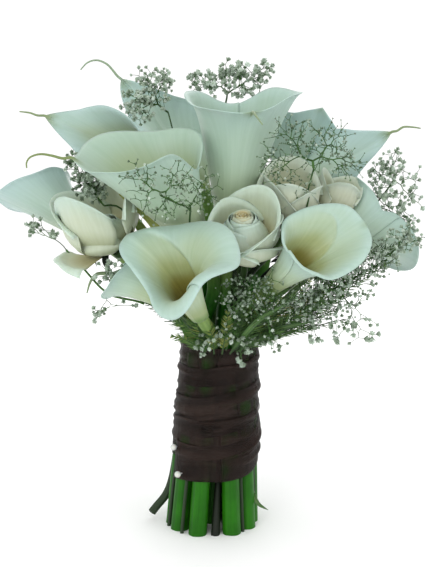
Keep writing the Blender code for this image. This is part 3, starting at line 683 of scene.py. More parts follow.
@dataclass
class Calla:
    """One calla. Lengths in millimetres and angles in degrees, as the solid has them.

    lengths and flares are the length and last angle of the meridians at eight places round the rim.
    Besides, wave is the rim's ripple, lap the overlap of the two edges, olive the tail's colour and lip
    how far the last millimetres of the rim roll back. fold is a crease inside, as pairs of length share
    and angle, with the side that stands over it and its depth; a paler band along it is painted light.
    deep moves the throat's colour up: a real yellow-green throat, darkened as painted shade. tint darkens
    the spathe and its tail as painted shade.
    """

    name: str
    slot: float
    foot: float
    base: tuple[float, float, float]
    heading: float
    rise: float
    turn: float
    lengths: tuple[float, ...]
    flares: tuple[float, ...]
    open_late: float
    cone: float
    point: float
    bow: tuple[float, float] = (0, 0)
    tail: tuple[tuple[float, float, float], ...] = ()
    wave: float = 0.7
    olive: float = 0.5
    lip: float = 25.0
    warm: float = 0.25
    fold: tuple[tuple[float, float], ...] = ()
    fold_side: int = 1
    fold_depth: float = 0.0
    # tint: a darkening of the whole flower, painted shade for flowers that stand in shade.
    tint: float = 1.0
    # deep: how far up the dark throat colour reaches; that colour is partly painted shade.
    deep: float = 0.0

    ROOT = 6.5 * MM
    THICK = 0.8 * MM
    LAP = 0.62 * MM

    def frame(self) -> tuple[Array, Array]:
        """Where the spathe stands and how it is turned.

        Returns:
            The base, and a matrix whose rows are the tip side, the cross side and the axis.
        """
        axis = heading(self.heading, self.rise)
        up = unit(np.array([0, 0, 1.0]) - axis * axis[2])
        turn = math.radians(self.turn)
        tip = up * math.cos(turn) + np.cross(axis, up) * math.sin(turn)
        return np.array(self.base) * MM, np.stack([tip, np.cross(axis, tip), axis])

    def round_the_rim(self, stops: tuple[float, ...], theta: Array) -> Array:
        """Eight values round the rim, read at any angles by a closed Catmull-Rom curve.

        Args:
            stops: the eight values.
            theta: the angles in radians.
        Returns:
            One value for each angle.
        """
        values = np.asarray(stops, float)
        place = (theta / (2 * math.pi) * len(values)) % len(values)
        low = np.floor(place).astype(int)
        f = place - low
        a, b, c, d = (values[(low + k) % len(values)] for k in (-1, 0, 1, 2))
        return b + 0.5 * f * (c - a + f * (2 * a - 5 * b + 4 * c - d + f * (3 * (b - c) + d - a)))

    def surface(self, theta: Array, q: Array) -> Array:
        """Points at angles theta and length shares q, both (rows, columns).

        A meridian's angle to the axis is cone + (flare - cone) q^open_late, plus the lip's roll at the
        very end. Radius and height are that angle's sine and cosine summed along the length. The tip is
        drawn out by point, and a ripple moves the rim along the axis.

        Args:
            theta: angles in radians.
            q: shares of the length.
        Returns:
            (rows, columns, 3) points.
        """
        length = self.round_the_rim(self.lengths, theta) * MM
        length = length * (1 + self.point * np.clip(1 - np.abs(theta) / 0.5, 0, 1) ** 1.6)
        last = np.radians(self.round_the_rim(self.flares, theta))
        start = math.radians(self.cone)
        share = ((np.arange(40) + 0.5)[:, None, None] / 40) * q
        angle = start + (last - start) * share**self.open_late
        tipwise = smooth(np.abs(theta), 0.25, 0.8)
        angle = angle + np.radians(self.lip) * smooth(share, 0.93, 1.0) * tipwise
        radius = self.ROOT + np.sin(angle).mean(axis=0) * q * length
        height = np.cos(angle).mean(axis=0) * q * length
        ripple = np.sin(3 * theta + self.heading) + 0.6 * np.sin(7 * theta + self.turn)
        height = height + self.wave * MM * ripple * smooth(q, 0.55, 1.0) * tipwise
        return np.stack([radius * np.cos(theta), radius * np.sin(theta), height], axis=-1)

    def spathe(self, build: Build) -> None:
        """Adds the rolled leaf: its two edges lap, a rib runs along the tip's meridian.

        Args:
            build: the mesh it joins.
        """
        rows, columns = (73, 161) if self.fold else (45, 97)
        u = np.linspace(-1, 1, columns)[None]
        q = (np.linspace(0, 1, rows) ** 0.9)[:, None]
        lap = 0.5 - 0.38 * smooth(q, 0.25, 1.0)
        spread = np.sign(u) * smooth(np.abs(u), 0.5, 1.0)
        theta = math.pi * u + spread * lap
        q = np.broadcast_to(q, theta.shape)
        points = self.surface(theta, q)
        normal = grid_normals(points)
        rib = np.exp(-((theta / 0.05) ** 2)) * 0.35 * smooth(q, 0.1, 0.4)
        flutes = 0.12 * np.sin(theta * 21 + self.turn) * smooth(q, 0.05, 0.4) * (1 - 0.6 * q)
        side, depth = self.fold_side, self.fold_depth
        line = np.polyfit(*zip(*self.fold), 2) if self.fold else [0.0]
        past = (theta - np.radians(np.polyval(line, q))) * side
        ledge = smooth(past, -0.06, 0.06) * np.exp(-np.clip(past, 0, None) / 0.75)
        reach = smooth(q, 0.25, 0.5) * (1 - smooth(q, 0.78, 0.96))
        inward = rib + flutes + depth * ledge * reach
        points = points + normal * (self.LAP * theta / math.pi - inward * MM)[..., None]
        near_tip = np.exp(-((theta / 0.10) ** 2)) * smooth(q, 0.90, 1.0) * (self.olive if self.tail else 0.4)
        thick = self.THICK * (1 - 0.35 * smooth(q, 0.9, 1.0))
        # Painted light: a paler band along one side of the fold's crease, beside the ledge.
        pale = 0.15 * smooth(-past * side, -0.06, 0.06) * np.exp(-np.clip(-past * side, 0, None) / 0.9) * reach
        base, axes = self.frame()
        add_sheet(build, base + points @ axes, thick, q=q - self.deep + (pale if depth else 0), olive=near_tip,
                  warm=self.warm, tint=self.tint)

    def tip_tail(self, build: Build) -> None:
        """Adds the narrow tail drawn out from the tip, along its line of points.

        Args:
            build: the mesh it joins.
        """
        if not self.tail:
            return
        base, axes = self.frame()
        q = np.array([[0.90], [0.96], [1.0]])
        start = (base + self.surface(np.zeros((3, 1)), q) @ axes)[:, 0]
        line = spline(np.concatenate([start, np.array(self.tail) * MM]), 40)
        share = np.linspace(0, 1, 40)
        stout = 1.5 if self.name == "left_low" else 0.8
        radius = MM * (0.5 + stout * smooth(share, 0.0, 0.25) * (1 - share) ** 0.8)
        add_tube(build, line, radius, 10, q=1.0, olive=self.olive * smooth(share, 0.0, 0.3), warm=self.warm,
                 tint=self.tint)

    def stem_line(self, count: int = 44) -> Array:
        """The stem's points: straight from the cut to the binding, then a cubic to the spathe.

        Args:
            count: points above the binding.
        Returns:
            The line's points, from the cut up.
        """
        ring, tied_ring = (0.0, 0.0) if self.name == "centre" else (FOOT_RING, BINDING_RING)
        foot = heading(self.foot) * ring
        tied = BINDING + heading(self.slot) * tied_ring
        base, axes = self.frame()
        under = base - axes[2] * 4 * MM
        level = (under - tied) * np.array([1, 1, 0])
        away = unit(np.array([0, 0, 1.0]) + (unit(level) * 0.25 if np.linalg.norm(level) else 0))
        t = np.linspace(0, 1, count)[1:, None]
        reach = np.linalg.norm(under - tied)
        line = tied * (1 - 3 * t**2 + 2 * t**3) + under * (3 * t**2 - 2 * t**3)
        line = line + ((t - 2 * t**2 + t**3) * away + (t**3 - t**2) * axes[2]) * reach
        line = line + np.array([*self.bow, 0]) * MM * np.sin(math.pi * t) ** 2
        straight = foot + (tied - foot) * np.linspace(0, 1, 30)[:, None]
        return np.concatenate([straight, line, [base + axes[2] * 6 * MM]])

    def stem(self, build: Build) -> None:
        """Adds the stem, thick at the cut and thinner towards the bloom, with faint flutes.

        Args:
            build: the mesh it joins.
        """
        line = self.stem_line()
        height = np.concatenate([np.linspace(0, 1, 30), np.linspace(1, 2, len(line) - 30)])
        radius = np.interp(height, [0, 1, 2], [7.5, 6.0, 4.8]) * MM * 0.985
        angle = np.arange(22) * 2 * math.pi / 22
        ripples = 0.16 * np.sin(5 * angle + self.slot) + 0.1 * np.sin(11 * angle)
        add_tube(build, line, radius, 22, foot=0.0, relief=np.broadcast_to(ripples * MM, (len(line), 22)))

    def spadix(self, build: Build) -> None:
        """Adds the spadix: a round-ended rod whose knobs stand in rows.

        Args:
            build: the mesh it joins.
        """
        base, axes = self.frame()
        length = min(32.0, 0.38 * min(self.lengths)) * MM
        share = np.linspace(0, 1, 46)
        line = base + axes[2] * 6.3 * MM + axes[2] * (share * length)[:, None]
        radius = 3.0 * MM * (0.85 + 0.15 * smooth(share, 0, 0.3)) * np.sqrt(np.clip(1 - share**5, 0.02, 1))
        angle = np.arange(20) * 2 * math.pi / 20
        knobs = np.cos(7 * angle[None] + np.pi * np.arange(46)[:, None]) * 0.14 * MM
        add_tube(build, line, radius, 20, relief=knobs * (share[:, None] < 0.97))


CALLAS = [
    Calla("front", -19, -22, (-9, -63, 183), -30, 47, 65, (88, 67, 56, 70, 78, 80, 85, 81),
          (126, 47, 51, 129, 80, 149, 149, 147), 2.9, 10, 0.02, warm=0.1,
          fold=((0.98, -5), (0.75, -28), (0.58, -58), (0.38, -100)), fold_side=-1, fold_depth=3.2,
          deep=0.02, lip=45),
    Calla("right_front", 14, 31, (40, -46, 199), 63, 40, 262, (89, 86, 64, 54, 53, 57, 61, 84),
          (43, 36, 71, 69, 68, 64, 53, 36), 2.7, 9, 0.01, warm=0.0,
          fold=((0.84, 38), (0.69, 3), (0.57, -12), (0.47, -15)), fold_depth=2.0, deep=0.11, tint=0.97, lip=60),
    Calla("right_side", 46, 66, (82, -13, 216), 112, 31, 270, (94, 84, 76, 67, 73, 82, 88, 92),
          (64, 51, 53, 6, 11, 56, 82, 93), 1.7, 6, 0.16, warm=0.3, tint=0.83),
    Calla("right_high", 79, 95, (40, 26, 260), 109, 21, 61, (102, 84, 75, 67, 63, 67, 77, 89),
          (39, 13, 27, 40, 44, 54, 60, 56), 2.9, 7, 0.18, bow=(7, 3), olive=0.9, warm=0.0, tint=0.92,
          tail=((150, 28, 319), (155, 28, 322), (162, 28, 322), (169, 28, 321))),
    Calla("back_right", 112, 125, (54, 60, 248), 143, 56, 44, (90, 88, 82, 78, 76, 78, 82, 87),
          (66, 65, 65, 64, 63, 66, 71, 73), 2.4, 9, 0.10, bow=(4, 4), wave=2.4, warm=0.0),
    Calla("back", 145, 154, (12, 60, 212), 184, 38, 200, (88, 80, 72, 66, 64, 68, 74, 82),
          (52, 60, 70, 78, 80, 74, 66, 56), 2.5, 9, 0.12, bow=(15, 13)),
    Calla("back_left", 177, 184, (-7, 56, 261), -148, 55, 289, (112, 91, 74, 65, 64, 69, 81, 96),
          (54, 45, 61, 72, 58, 52, 46, 37), 2.3, 10, 0.11, bow=(-6, 26), olive=0.7, warm=0.1, tint=0.95,
          tail=((-80, 71, 365), (-84, 71, 370), (-89, 71, 375), (-97, 71, 378), (-105, 71, 376),
                (-111, 71, 370))),
    Calla("left_high", -150, -147, (-22, 36, 282), -54, 23, 85, (105, 88, 77, 71, 66, 68, 82, 95),
          (45, 33, 25, 23, 25, 24, 20, 28), 2.7, 8, 0.18, bow=(0, -5), olive=0.9, warm=0.0, tint=0.82,
          tail=((-138, 8, 331), (-144, 8, 333), (-152, 8, 334))),
    Calla("left_side", -117, -117, (-84, 14, 227), -110, 33, 219, (100, 96, 82, 76, 71, 68, 78, 91),
          (17, 28, 43, 41, 43, 45, 34, 23), 2.6, 8, 0.09, warm=0.0, tint=0.81,
          tail=((-195, 32, 266), (-202, 32, 263))),
    Calla("left_low", -85, -88, (-35, -46, 192), -91, 34, 115, (46, 39, 47, 50, 46, 43, 41, 44),
          (57, 52, 60, 62, 55, 68, 79, 73), 3.0, 14, 0.16, bow=(-7, 9), olive=0.8, warm=0.3,
          tail=((-90, -19, 208), (-95, -19, 202), (-98, -19, 193))),
    Calla("left_front", -52, -58, (-8, -6, 225), -34, 47, 122, (125, 134, 125, 116, 79, 96, 102, 123),
          (30, 18, 11, 5, 19, 58, 57, 53), 2.4, 14, 0.07, bow=(6, -6), olive=1.0, warm=0.4, tint=0.87, deep=0.05,
          tail=((-108, -69, 299), (-116, -69, 301), (-124, -69, 302), (-131, -69, 300),
                (-134, -69, 296), (-134, -69, 292))),
    Calla("centre", 0, 0, (13, 0, 225), 70, 85, 118, (125, 134, 136, 132, 118, 126, 127, 126),
          (79, 38, 32, 8, 8, 21, 33, 68), 4.5, 13, 0.01, bow=(-1, -2), olive=0.8, warm=0.25,
          tail=((32, -68, 329), (36, -76, 323))),
]


@dataclass
class Rose:
    """One rose, as the solid has it: slot and foot are its stem's headings at the binding and the cut."""

    name: str
    slot: float
    foot: float
    root: tuple[float, float, float]
    heading: float
    rise: float
    turn: float
    size: float
    foot_ring: float = 17.0
    tied_ring: float = 11.2
    bow: tuple[float, float] = (0, 0)
    tight: int = 8
    wide: int = 7
    # How strongly the heart colouring shows: a warmer heart and painted shade between its tight petals.
    heart_warmth_and_shade: float = 1.0
    peach: float = 0.2
    fallen: tuple[tuple[float, float, float, float, float], ...] = (
        (20, 0.94, 0.02, 1.40, 0.9), (155, 0.96, 0.04, 1.35, 0.9), (-90, 0.98, 0.06, 1.35, 0.9),
        (85, 1.02, 0.12, 1.20, 0.8), (-160, 1.04, 0.14, 1.15, 0.8))
    nod: tuple[float, float] | None = None
    shift: tuple[float, float, float] = (0, 0, 0)
    sunk: float = 1.0

    def place(self, points: Array) -> Array:
        """Turns points from the bloom's own frame, +Z up the bloom, into the bouquet's.

        Args:
            points: in metres.
        Returns:
            The same points in the bouquet.
        """
        axis = heading(*(self.nod or (self.heading, self.rise)))
        side = unit(np.array([0.2, 0.1, 1.0]) - axis * np.dot([0.2, 0.1, 1.0], axis))
        origin = (np.array(self.root) + self.shift) * MM
        return origin + points @ np.stack([side, np.cross(axis, side), axis])

    def petal(self, build: Build, share: float, around: float, rng: np.random.Generator,
              fall: float = 0.0, tall: float = 0.0, span: float = 1.0) -> None:
        """Adds one petal.

        Radius swells with the sine of the height share to the belly. Petals of the bud then close to
        a rim near the heart; the outermost stand off and roll their upper edge out. One side of a
        petal lies inside its neighbour, and its edge is an arch that dips at the sides.

        Args:
            build: the mesh the petal joins.
            share: 0 at the heart and 1 outside.
            around: heading of the petal round the bloom, in radians.
            rng: source of the small differences between petals.
            fall: how far the petal leans out, as a share of its radius.
            tall: height of an outer petal against 24 mm; 0 for one of the bud.
            span: share of the usual arc the petal goes round.
        """
        rows, columns = 15, 21
        v, u = np.linspace(0, 1, rows)[:, None], np.linspace(-1, 1, columns)[None]
        outer = smooth(share, 0.60, 1.05) if not tall else 1.0
        arc = math.radians(225 - 45 * share) / 2 * span
        belly = 2.4 + 20.6 * share**0.92
        top = 24.0 * tall if tall else (34.5 - 7.0 * share**1.4) * rng.uniform(0.98, 1.02) * self.sunk
        arch = 1 - (0.40 * u**2 if tall else (0.03 + 0.28 * share) * np.abs(u) ** 2.6)
        swell = np.sin(0.5 * math.pi * np.clip(v / 0.55, 0, 1)) ** 0.8
        root = 1.0 + 3.0 * share
        radius = root + (belly - root) * swell
        rim = 3.4 + 9.0 * share if not tall else belly * 0.94
        radius = radius + (rim - belly) * smooth(v, 0.48, 1.08) + belly * fall * v**1.5
        roll = smooth(v, 0.80, 1.0) * outer
        curl = 0.5 + 0.8 * np.abs(u) ** 2 + 0.25 * rng.uniform(-1, 1)
        radius = radius + roll * curl * 3.4
        radius = radius + u * 0.6 * (0.4 + share) * smooth(v, 0.0, 0.3)
        height = top * arch * v - roll**2 * curl * 3.4
        ripple = 0.5 * np.sin(3.5 * u + rng.uniform(0, 6)) + 0.3 * np.sin(8 * u + rng.uniform(0, 6))
        radius = radius + ripple * smooth(v, 0.55, 1.0) * (0.15 + 0.85 * outer)
        theta = around + arc * u * (0.6 + 0.4 * np.sin(0.5 * math.pi * np.clip(v * 1.5, 0, 1)))
        points = np.stack([radius * np.cos(theta), radius * np.sin(theta), height + 0 * theta], axis=-1)
        # heart: the warm heart colour and painted shade between the inner petals, 1 in the middle.
        heart = self.heart_warmth_and_shade * np.clip(1 - share / 0.45, 0, 1) + 0 * theta
        thick = (0.50 - 0.28 * smooth(v, 0.7, 1.0)) * MM * np.ones_like(theta)
        add_sheet(build, self.place(points * self.size * MM), thick, v=v + 0 * theta, heart=heart,
                  peach=self.peach * (0.3 + 0.7 * heart))

    def bloom(self, build: Build) -> None:
        """Adds a tight spiral heart and petals set round it by the golden angle.

        Args:
            build: the mesh it joins.
        """
        rng = np.random.default_rng(abs(hash_name(self.name)))
        start = math.radians(self.turn)
        wind = np.linspace(0, 3.2, 112)[None]
        v = np.linspace(0, 1, 12)[:, None] ** 0.6
        theta = start + 2 * math.pi * wind
        radius = (0.3 + 1.02 * wind) * (1.25 - 0.25 * v) + 0.22 * np.sin(4.3 * theta) * wind / 3
        height = (33.5 - 0.5 * wind + 0.8 * np.sin(2.3 * theta)) * self.sunk * v
        points = np.stack([radius * np.cos(theta), radius * np.sin(theta), height + 0 * theta], axis=-1)
        ones = np.ones_like(theta)
        # The spiral heart takes the full heart colouring: warm, with painted shade down between its turns.
        add_sheet(build, self.place(points * self.size * MM), 0.3 * MM, v=v * ones, heart=self.heart_warmth_and_shade * ones,
                  peach=self.peach * ones)
        shares = np.concatenate([np.linspace(0.08, 0.34, self.tight), np.linspace(0.42, 0.84, self.wide)])
        for i, share in enumerate(shares):
            self.petal(build, float(share), start + math.radians(137.5 * i), rng)
        for angle, share, fall, tall, span in self.fallen:
            self.petal(build, share, math.radians(angle), rng, fall, tall, span)

    def stem(self, build: Build) -> None:
        """Adds the stem from its cut through a knee and the binding to the hip under the bloom.

        Args:
            build: the mesh it joins.
        """
        axis = heading(self.heading, self.rise)
        finish = np.array(self.root) * MM - axis * 0.7 * MM
        neck = finish - axis * 9 * MM

        def bundle(angle: float, ring: float, height: float) -> Array:
            """A point of the straight run from the cut at this heading to the binding."""
            low = heading(angle) * ring * MM
            tied = BINDING + heading(self.slot) * self.tied_ring * MM
            return low + (tied - low) * height / BINDING_HEIGHT

        tied = bundle(self.foot, self.foot_ring, 155)
        level = (neck - tied) * np.array([1, 1, 0])
        away = unit(np.array([0, 0, 1.0]) + unit(level) * 0.25)
        t = np.linspace(0, 1, 36)[1:, None]
        reach = np.linalg.norm(neck - tied)
        curve = tied * (1 - 3 * t**2 + 2 * t**3) + neck * (3 * t**2 - 2 * t**3)
        curve = curve + ((t - 2 * t**2 + t**3) * away + (t**3 - t**2) * axis) * reach
        curve = curve + np.array([*self.bow, 0]) * MM * np.sin(math.pi * t) ** 2
        foot, knee = bundle(self.foot, self.foot_ring, 0), bundle(self.slot, 15.0, 50)
        low = np.concatenate([foot + (knee - foot) * np.linspace(0, 1, 10)[:-1, None],
                              knee + (tied - knee) * np.linspace(0, 1, 16)[:, None]])
        line = np.concatenate([low, curve, finish - axis * np.array([[6], [4], [2], [0]]) * MM])
        rings = len(line)
        radius = np.full(rings, 2.7)
        radius[:9] = np.linspace(3.6, 2.8, 9)
        radius[-4:] = (4.6, 6.2, 6.3, 5.4)
        angle = np.arange(14) * 2 * math.pi / 14
        bark = 0.12 * np.sin(4 * angle)[None] + 0.08 * np.sin(0.9 * np.arange(rings))[:, None]
        add_tube(build, line, radius * MM, 14, foot=0.0, relief=bark * MM)

    def sepals(self, build: Build) -> None:
        """Adds five narrow green sepals that bend down from the hip: blades along a quarter circle.

        Args:
            build: the mesh it joins.
        """
        for k in range(5):
            around = math.radians(self.turn + 72 * k)
            t, w = np.linspace(0, 1, 12)[:, None], np.linspace(-1, 1, 5)[None]
            out = 5.2 + 7.5 * np.sin(1.5 * t) - 0 * w
            up = 1.5 - 8.5 * t**1.6 + 0.9 * w**2
            wide = 2.4 * np.sin(math.pi * np.clip(t * 0.93 + 0.07, 0, 1)) ** 0.8 * w
            x = out * math.cos(around) - wide * math.sin(around)
            y = out * math.sin(around) + wide * math.cos(around)
            points = np.stack([x, y, up + 0 * w + 0 * t], axis=-1) * self.size * MM
            add_sheet(build, self.place(points), 0.35 * MM, along=0.5)


ROSES = [
    Rose("front", 15, 5, (25, -36, 228), -5, 48, 20, 1.12, foot_ring=30.5, tied_ring=14.3, peach=0.3,
         nod=(-4, 60), shift=(-1, -1, -3),
         fallen=((-22, 1.0, 0.06, 1.85, 0.95), (-95, 1.03, 0.10, 1.5, 0.8), (52, 0.92, 0.0, 1.5, 0.8),
                 (-150, 1.05, 0.12, 1.05, 0.7), (150, 1.0, 0.10, 1.1, 0.8))),
    Rose("left", -75, -60, (-74, -20, 228), -50, 34, 70, 1.25, bow=(1, 4), tight=3, wide=4,
         heart_warmth_and_shade=0.3, nod=(-52, 66), shift=(-4, 0, -2), sunk=0.70,
         fallen=((122, 0.98, 0.0, 1.9, 0.9), (10, 0.96, 0.10, 1.95, 0.8), (-44, 1.04, 0.20, 1.95, 0.46),
                 (-156, 1.0, -0.02, 2.1, 0.66), (165, 1.05, 0.50, 0.40, 0.5))),
    Rose("right", 80, 80, (58, -10, 250), 12, 62, 0, 0.95, bow=(-13, -3), peach=1.4, sunk=0.72,
         fallen=((10, 1.0, 0.08, 2.0, 0.9), (-118, 1.0, 0.02, 1.8, 0.8), (130, 1.0, 0.0, 1.9, 0.8),
                 (-175, 0.98, -0.08, 2.0, 0.8))),
    Rose("right_back", 130, 130, (92, 2, 256), 50, 62, 40, 0.82, bow=(-6, 7), peach=1.4, sunk=0.75,
         fallen=((60, 0.9, 0.02, 1.6, 0.9), (-70, 0.92, 0.0, 1.6, 0.8), (170, 0.9, -0.08, 1.75, 0.8))),
    Rose("back_right", 165, 170, (62, 54, 206), 118, 32, 10, 0.95, tied_ring=14.6),
]


def hash_name(name: str) -> int:
    """A number that is the same for the same name in every run."""
    return sum((i + 1) * ord(c) for i, c in enumerate(name))


@dataclass(frozen=True)
class Cloud:
    """Where blooms of baby's breath gather, as the photograph shows them.

    x, y and wide, high are pixels; near and deep are millimetres of world Y; count is how many blooms.
    """

    x: float
    y: float
    wide: float
    high: float
    near: float
    deep: float
    count: int

    def places(self, rng: np.random.Generator) -> Array:
        """Random places, thicker in the middle of the ellipsoid and at most 1.15 times as far as its edge.

        Args:
            rng: source of the random places.
        Returns:
            (count, 3) points.
        """
        p = rng.normal(0, 0.52, (self.count, 3))
        p = p / np.maximum(np.linalg.norm(p, axis=1, keepdims=True) / 1.15, 1)
        return at_pixel(self.x + p[:, 0] * self.wide, self.y + p[:, 2] * self.high,
                        (self.near + p[:, 1] * self.deep) * MM)


@dataclass
class Spray:
    """One stem of baby's breath: it follows the solid's stem, then forks again and again."""

    name: str
    forks: tuple[tuple[float, float, float], ...]
    clouds: tuple[Cloud, ...]
    bloom: tuple[float, float] = (1.5, 2.6)
    foot: float = 1.45
    green: float = 0.25
    low: float = 0.0
    stem: float = 0.4

    def route(self, node: bpy.types.Object) -> list[Array]:
        """The solid's stem, as the shortest ways over its edges from its cut to near each fork.

        Args:
            node: the solid this spray stands for.
        Returns:
            One line of points for each fork.
        """
        mesh = node.data
        co = np.empty(len(mesh.vertices) * 3)
        mesh.vertices.foreach_get("co", co)
        co, back = np.unique(co.reshape(-1, 3).round(5), axis=0, return_inverse=True)
        pairs = np.empty(len(mesh.edges) * 2, int)
        mesh.edges.foreach_get("vertices", pairs)
        pairs = back.ravel()[pairs].reshape(-1, 2)
        near: dict[int, list[tuple[int, float]]] = {}
        for (a, b), span in zip(pairs, np.linalg.norm(co[pairs[:, 0]] - co[pairs[:, 1]], axis=1)):
            near.setdefault(int(a), []).append((int(b), float(span)))
            near.setdefault(int(b), []).append((int(a), float(span)))
        start = int(co[:, 2].argmin())
        cost, came, heap = {start: 0.0}, {}, [(0.0, start)]
        while heap:
            so_far, at = heapq.heappop(heap)
            if so_far > cost[at]:
                continue
            for to, span in near.get(at, ()):
                if so_far + span < cost.get(to, 1e9):
                    cost[to], came[to] = so_far + span, at
                    heapq.heappush(heap, (so_far + span, to))
        lines = []
        for fork in self.forks:
            gap = np.linalg.norm(co - np.array(fork) * MM, axis=1)
            gap[[i for i in range(len(co)) if i not in cost]] = 9.0
            at = int(gap.argmin())
            path = [at]
            while at != start:
                at = came[at]
                path.append(at)
            line = spline(co[path[::-1]], 60)
            for _ in range(3):
                line[1:-1] = (line[:-2] + line[1:-1] * 2 + line[2:]) / 4
            lines.append(line)
        return lines


class Growth:
    """Grows forking twigs from a point to many blooms, clear of the flowers."""

    def __init__(self, build: Build, walls: BVHTree, rng: np.random.Generator) -> None:
        """Keeps where the meshes go, the flowers to keep clear of, and the random numbers.

        Args:
            build: the mesh that grows.
            walls: the flowers to keep clear of.
            rng: source of the differences.
        """
        self.build = build
        self.walls = walls
        self.rng = rng
        self.blooms: list[tuple[Array, Array]] = []
        self.lost = 0

    def clear(self, a: Array, b: Array, room: float = 0.0006) -> bool:
        """Whether the straight way from a to b meets no flower.

        Args:
            a, b: the two ends.
            room: free length wanted past b.
        Returns:
            True where the way is free.
        """
        way = b - a
        length = float(np.linalg.norm(way))
        if length < 1e-6:
            return True
        hit = self.walls.ray_cast(Vector(a), Vector(way / length), length + room)
        return hit[0] is None

    def limb(self, a: Array, b: Array, thick: float, thin: float) -> None:
        """Adds one slightly bowed piece of twig.

        Args:
            a, b: its two ends.
            thick, thin: its radius at each.
        """
        rings = 4 if np.linalg.norm(b - a) > 0.006 else 3
        t = np.linspace(0, 1, rings)[:, None]
        sag = self.rng.normal(size=3) * 0.05 * np.linalg.norm(b - a)
        line = a + (b - a) * t + sag * np.sin(math.pi * t)
        add_tube(self.build, line, np.linspace(thick, thin, rings), 4, part=0.0, tone=self.rng.uniform(0.2, 1))

    def branch(self, start: Array, goals: Array) -> None:
        """Grows from start to all goals: a limb towards their middle, then two smaller branches.

        Args:
            start: where it grows from.
            goals: where the blooms go.
        """
        n = len(goals)
        if n == 0:
            return
        radius = (0.17 + 0.046 * math.sqrt(n)) * MM
        if n == 1:
            if not self.clear(start, goals[0]):
                self.lost += 1
                return
            self.limb(start, goals[0], radius, 0.15 * MM)
            self.blooms.append((goals[0], unit(goals[0] - start)))
            return
        middle = goals.mean(axis=0)
        fork = None
        for attempt in range(24):
            share = 0.42 if n > 6 else 0.55
            spread = 0.03 + 0.03 * attempt
            there = start + (middle - start) * share
            there = there + self.rng.normal(size=3) * spread * np.linalg.norm(middle - start)
            if self.clear(start, there):
                fork = there
                break
        if fork is None:
            self.lost += n
            return
        self.limb(start, fork, radius, radius * 0.85)
        axis = np.linalg.svd(goals - middle, full_matrices=False)[2][0] if n > 2 else goals[1] - goals[0]
        order = np.argsort((goals - middle) @ axis)
        cut = n // 2 if n < 5 else int(np.clip(self.rng.normal(0.5, 0.1), 0.3, 0.7) * n)
        self.branch(fork, goals[order[:cut]])
        self.branch(fork, goals[order[cut:]])

    def bloom(self, at: Array, way: Array, size: float, white: float) -> None:
        """Adds one small double bloom: two frilled crowns, one in the other, over a green cup.

        A crown is a fan from a low point to a ring of petal tips and notches and back to a high point.

        Args:
            at: its middle.
            way: where it looks.
            size: its radius.
            white: 1 for white, less for green.
        """
        rng = self.rng
        side = unit(np.cross(way, rng.normal(size=3)))
        axes = np.stack([side, np.cross(way, side), way])
        for petals, lift, wide, drop in ((6, 0.0, 1.0, 0.75), (5, 0.42, 0.66, 0.30), (3, 0.70, 0.34, 0.30)):
            n = 2 * petals
            angle = np.arange(n) * 2 * math.pi / n + rng.uniform(0, 6)
            tip = np.arange(n) % 2
            reach = wide * np.where(tip, rng.uniform(0.9, 1.15, n), rng.uniform(0.62, 0.78, n))
            height = lift + np.where(tip, rng.normal(0.42, 0.14, n), rng.normal(0.12, 0.08, n)) * wide
            ring = np.stack([reach * np.cos(angle), reach * np.sin(angle), height], axis=1)
            ends = np.array([[0, 0, lift - drop], [0, 0, lift + 0.16 * wide]])
            i = np.arange(n)
            j = (i + 1) % n
            low = np.stack([np.full(n, n), j, i], axis=1)
            high = np.stack([np.full(n, n + 1), i, j], axis=1)
            points = at + np.concatenate([ring, ends]) @ axes * size
            part = white * np.concatenate([np.ones(n), [0.15 if lift == 0 else 1.0, 0.9]])
            self.build.add(points, np.concatenate([low, high]), np.zeros((n + 2, 2)), part=part,
                           tone=rng.uniform(0, 1), along=0.5)


def grow_spray(spray: Spray, walls: BVHTree, look: bpy.types.Material) -> bpy.types.Object:
    """Makes one spray: the stem on the solid's way, twigs from its forks, and blooms on their ends.

    Args:
        spray: what grows.
        walls: the flowers that its twigs keep clear of.
        look: its material.
    Returns:
        The finished piece.
    """
    node_name = f"spray_{spray.name}"
    rng = np.random.default_rng(hash_name(spray.name))
    build = Build()
    growth = Growth(build, walls, rng)
    lines = spray.route(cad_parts[node_name])
    stems = []
    for number, line in enumerate(lines):
        if number:
            apart = np.linalg.norm(line - lines[number - 1][-1], axis=1)
            line = line[max(0, int(apart.argmin()) - 1):]
        radius = np.interp(line[:, 2], [0.0, 0.10, 0.16, 0.3], [spray.foot, spray.foot * 0.9, 1.0, 0.6]) * MM
        foot = 0.0 if number == 0 and line[0, 2] < 0.002 else None
        tone = np.interp(line[:, 2], [0.1, 0.18], [0.0, spray.stem])
        add_tube(build, line, radius, 8, foot=foot, part=0.0, tone=tone)
        stems.append(line[-1])
    goals = np.concatenate([cloud.places(rng) for cloud in spray.clouds])
    open_air = [walls.find_nearest(Vector(g), 0.0026)[0] is None for g in goals]
    goals = goals[np.array(open_air)]
    ends = np.array(stems)
    nearest = np.linalg.norm(goals[:, None] - ends[None], axis=2).argmin(axis=1)
    for k, end in enumerate(ends):
        growth.branch(end, goals[nearest == k])
    for at, way in growth.blooms:
        low = spray.low * (1 - float(smooth(at[2], 0.158, 0.176)))
        size = rng.uniform(*spray.bloom) * (1 + low)
        growth.bloom(at, way, size * MM, 1 - spray.green * rng.uniform(0, 1) * (1 - low))
    LOG.info("%s: %d blooms, %d dropped", node_name, len(growth.blooms), growth.lost)
    return build.object(node_name + "_twigs", look, smooth_faces=False)


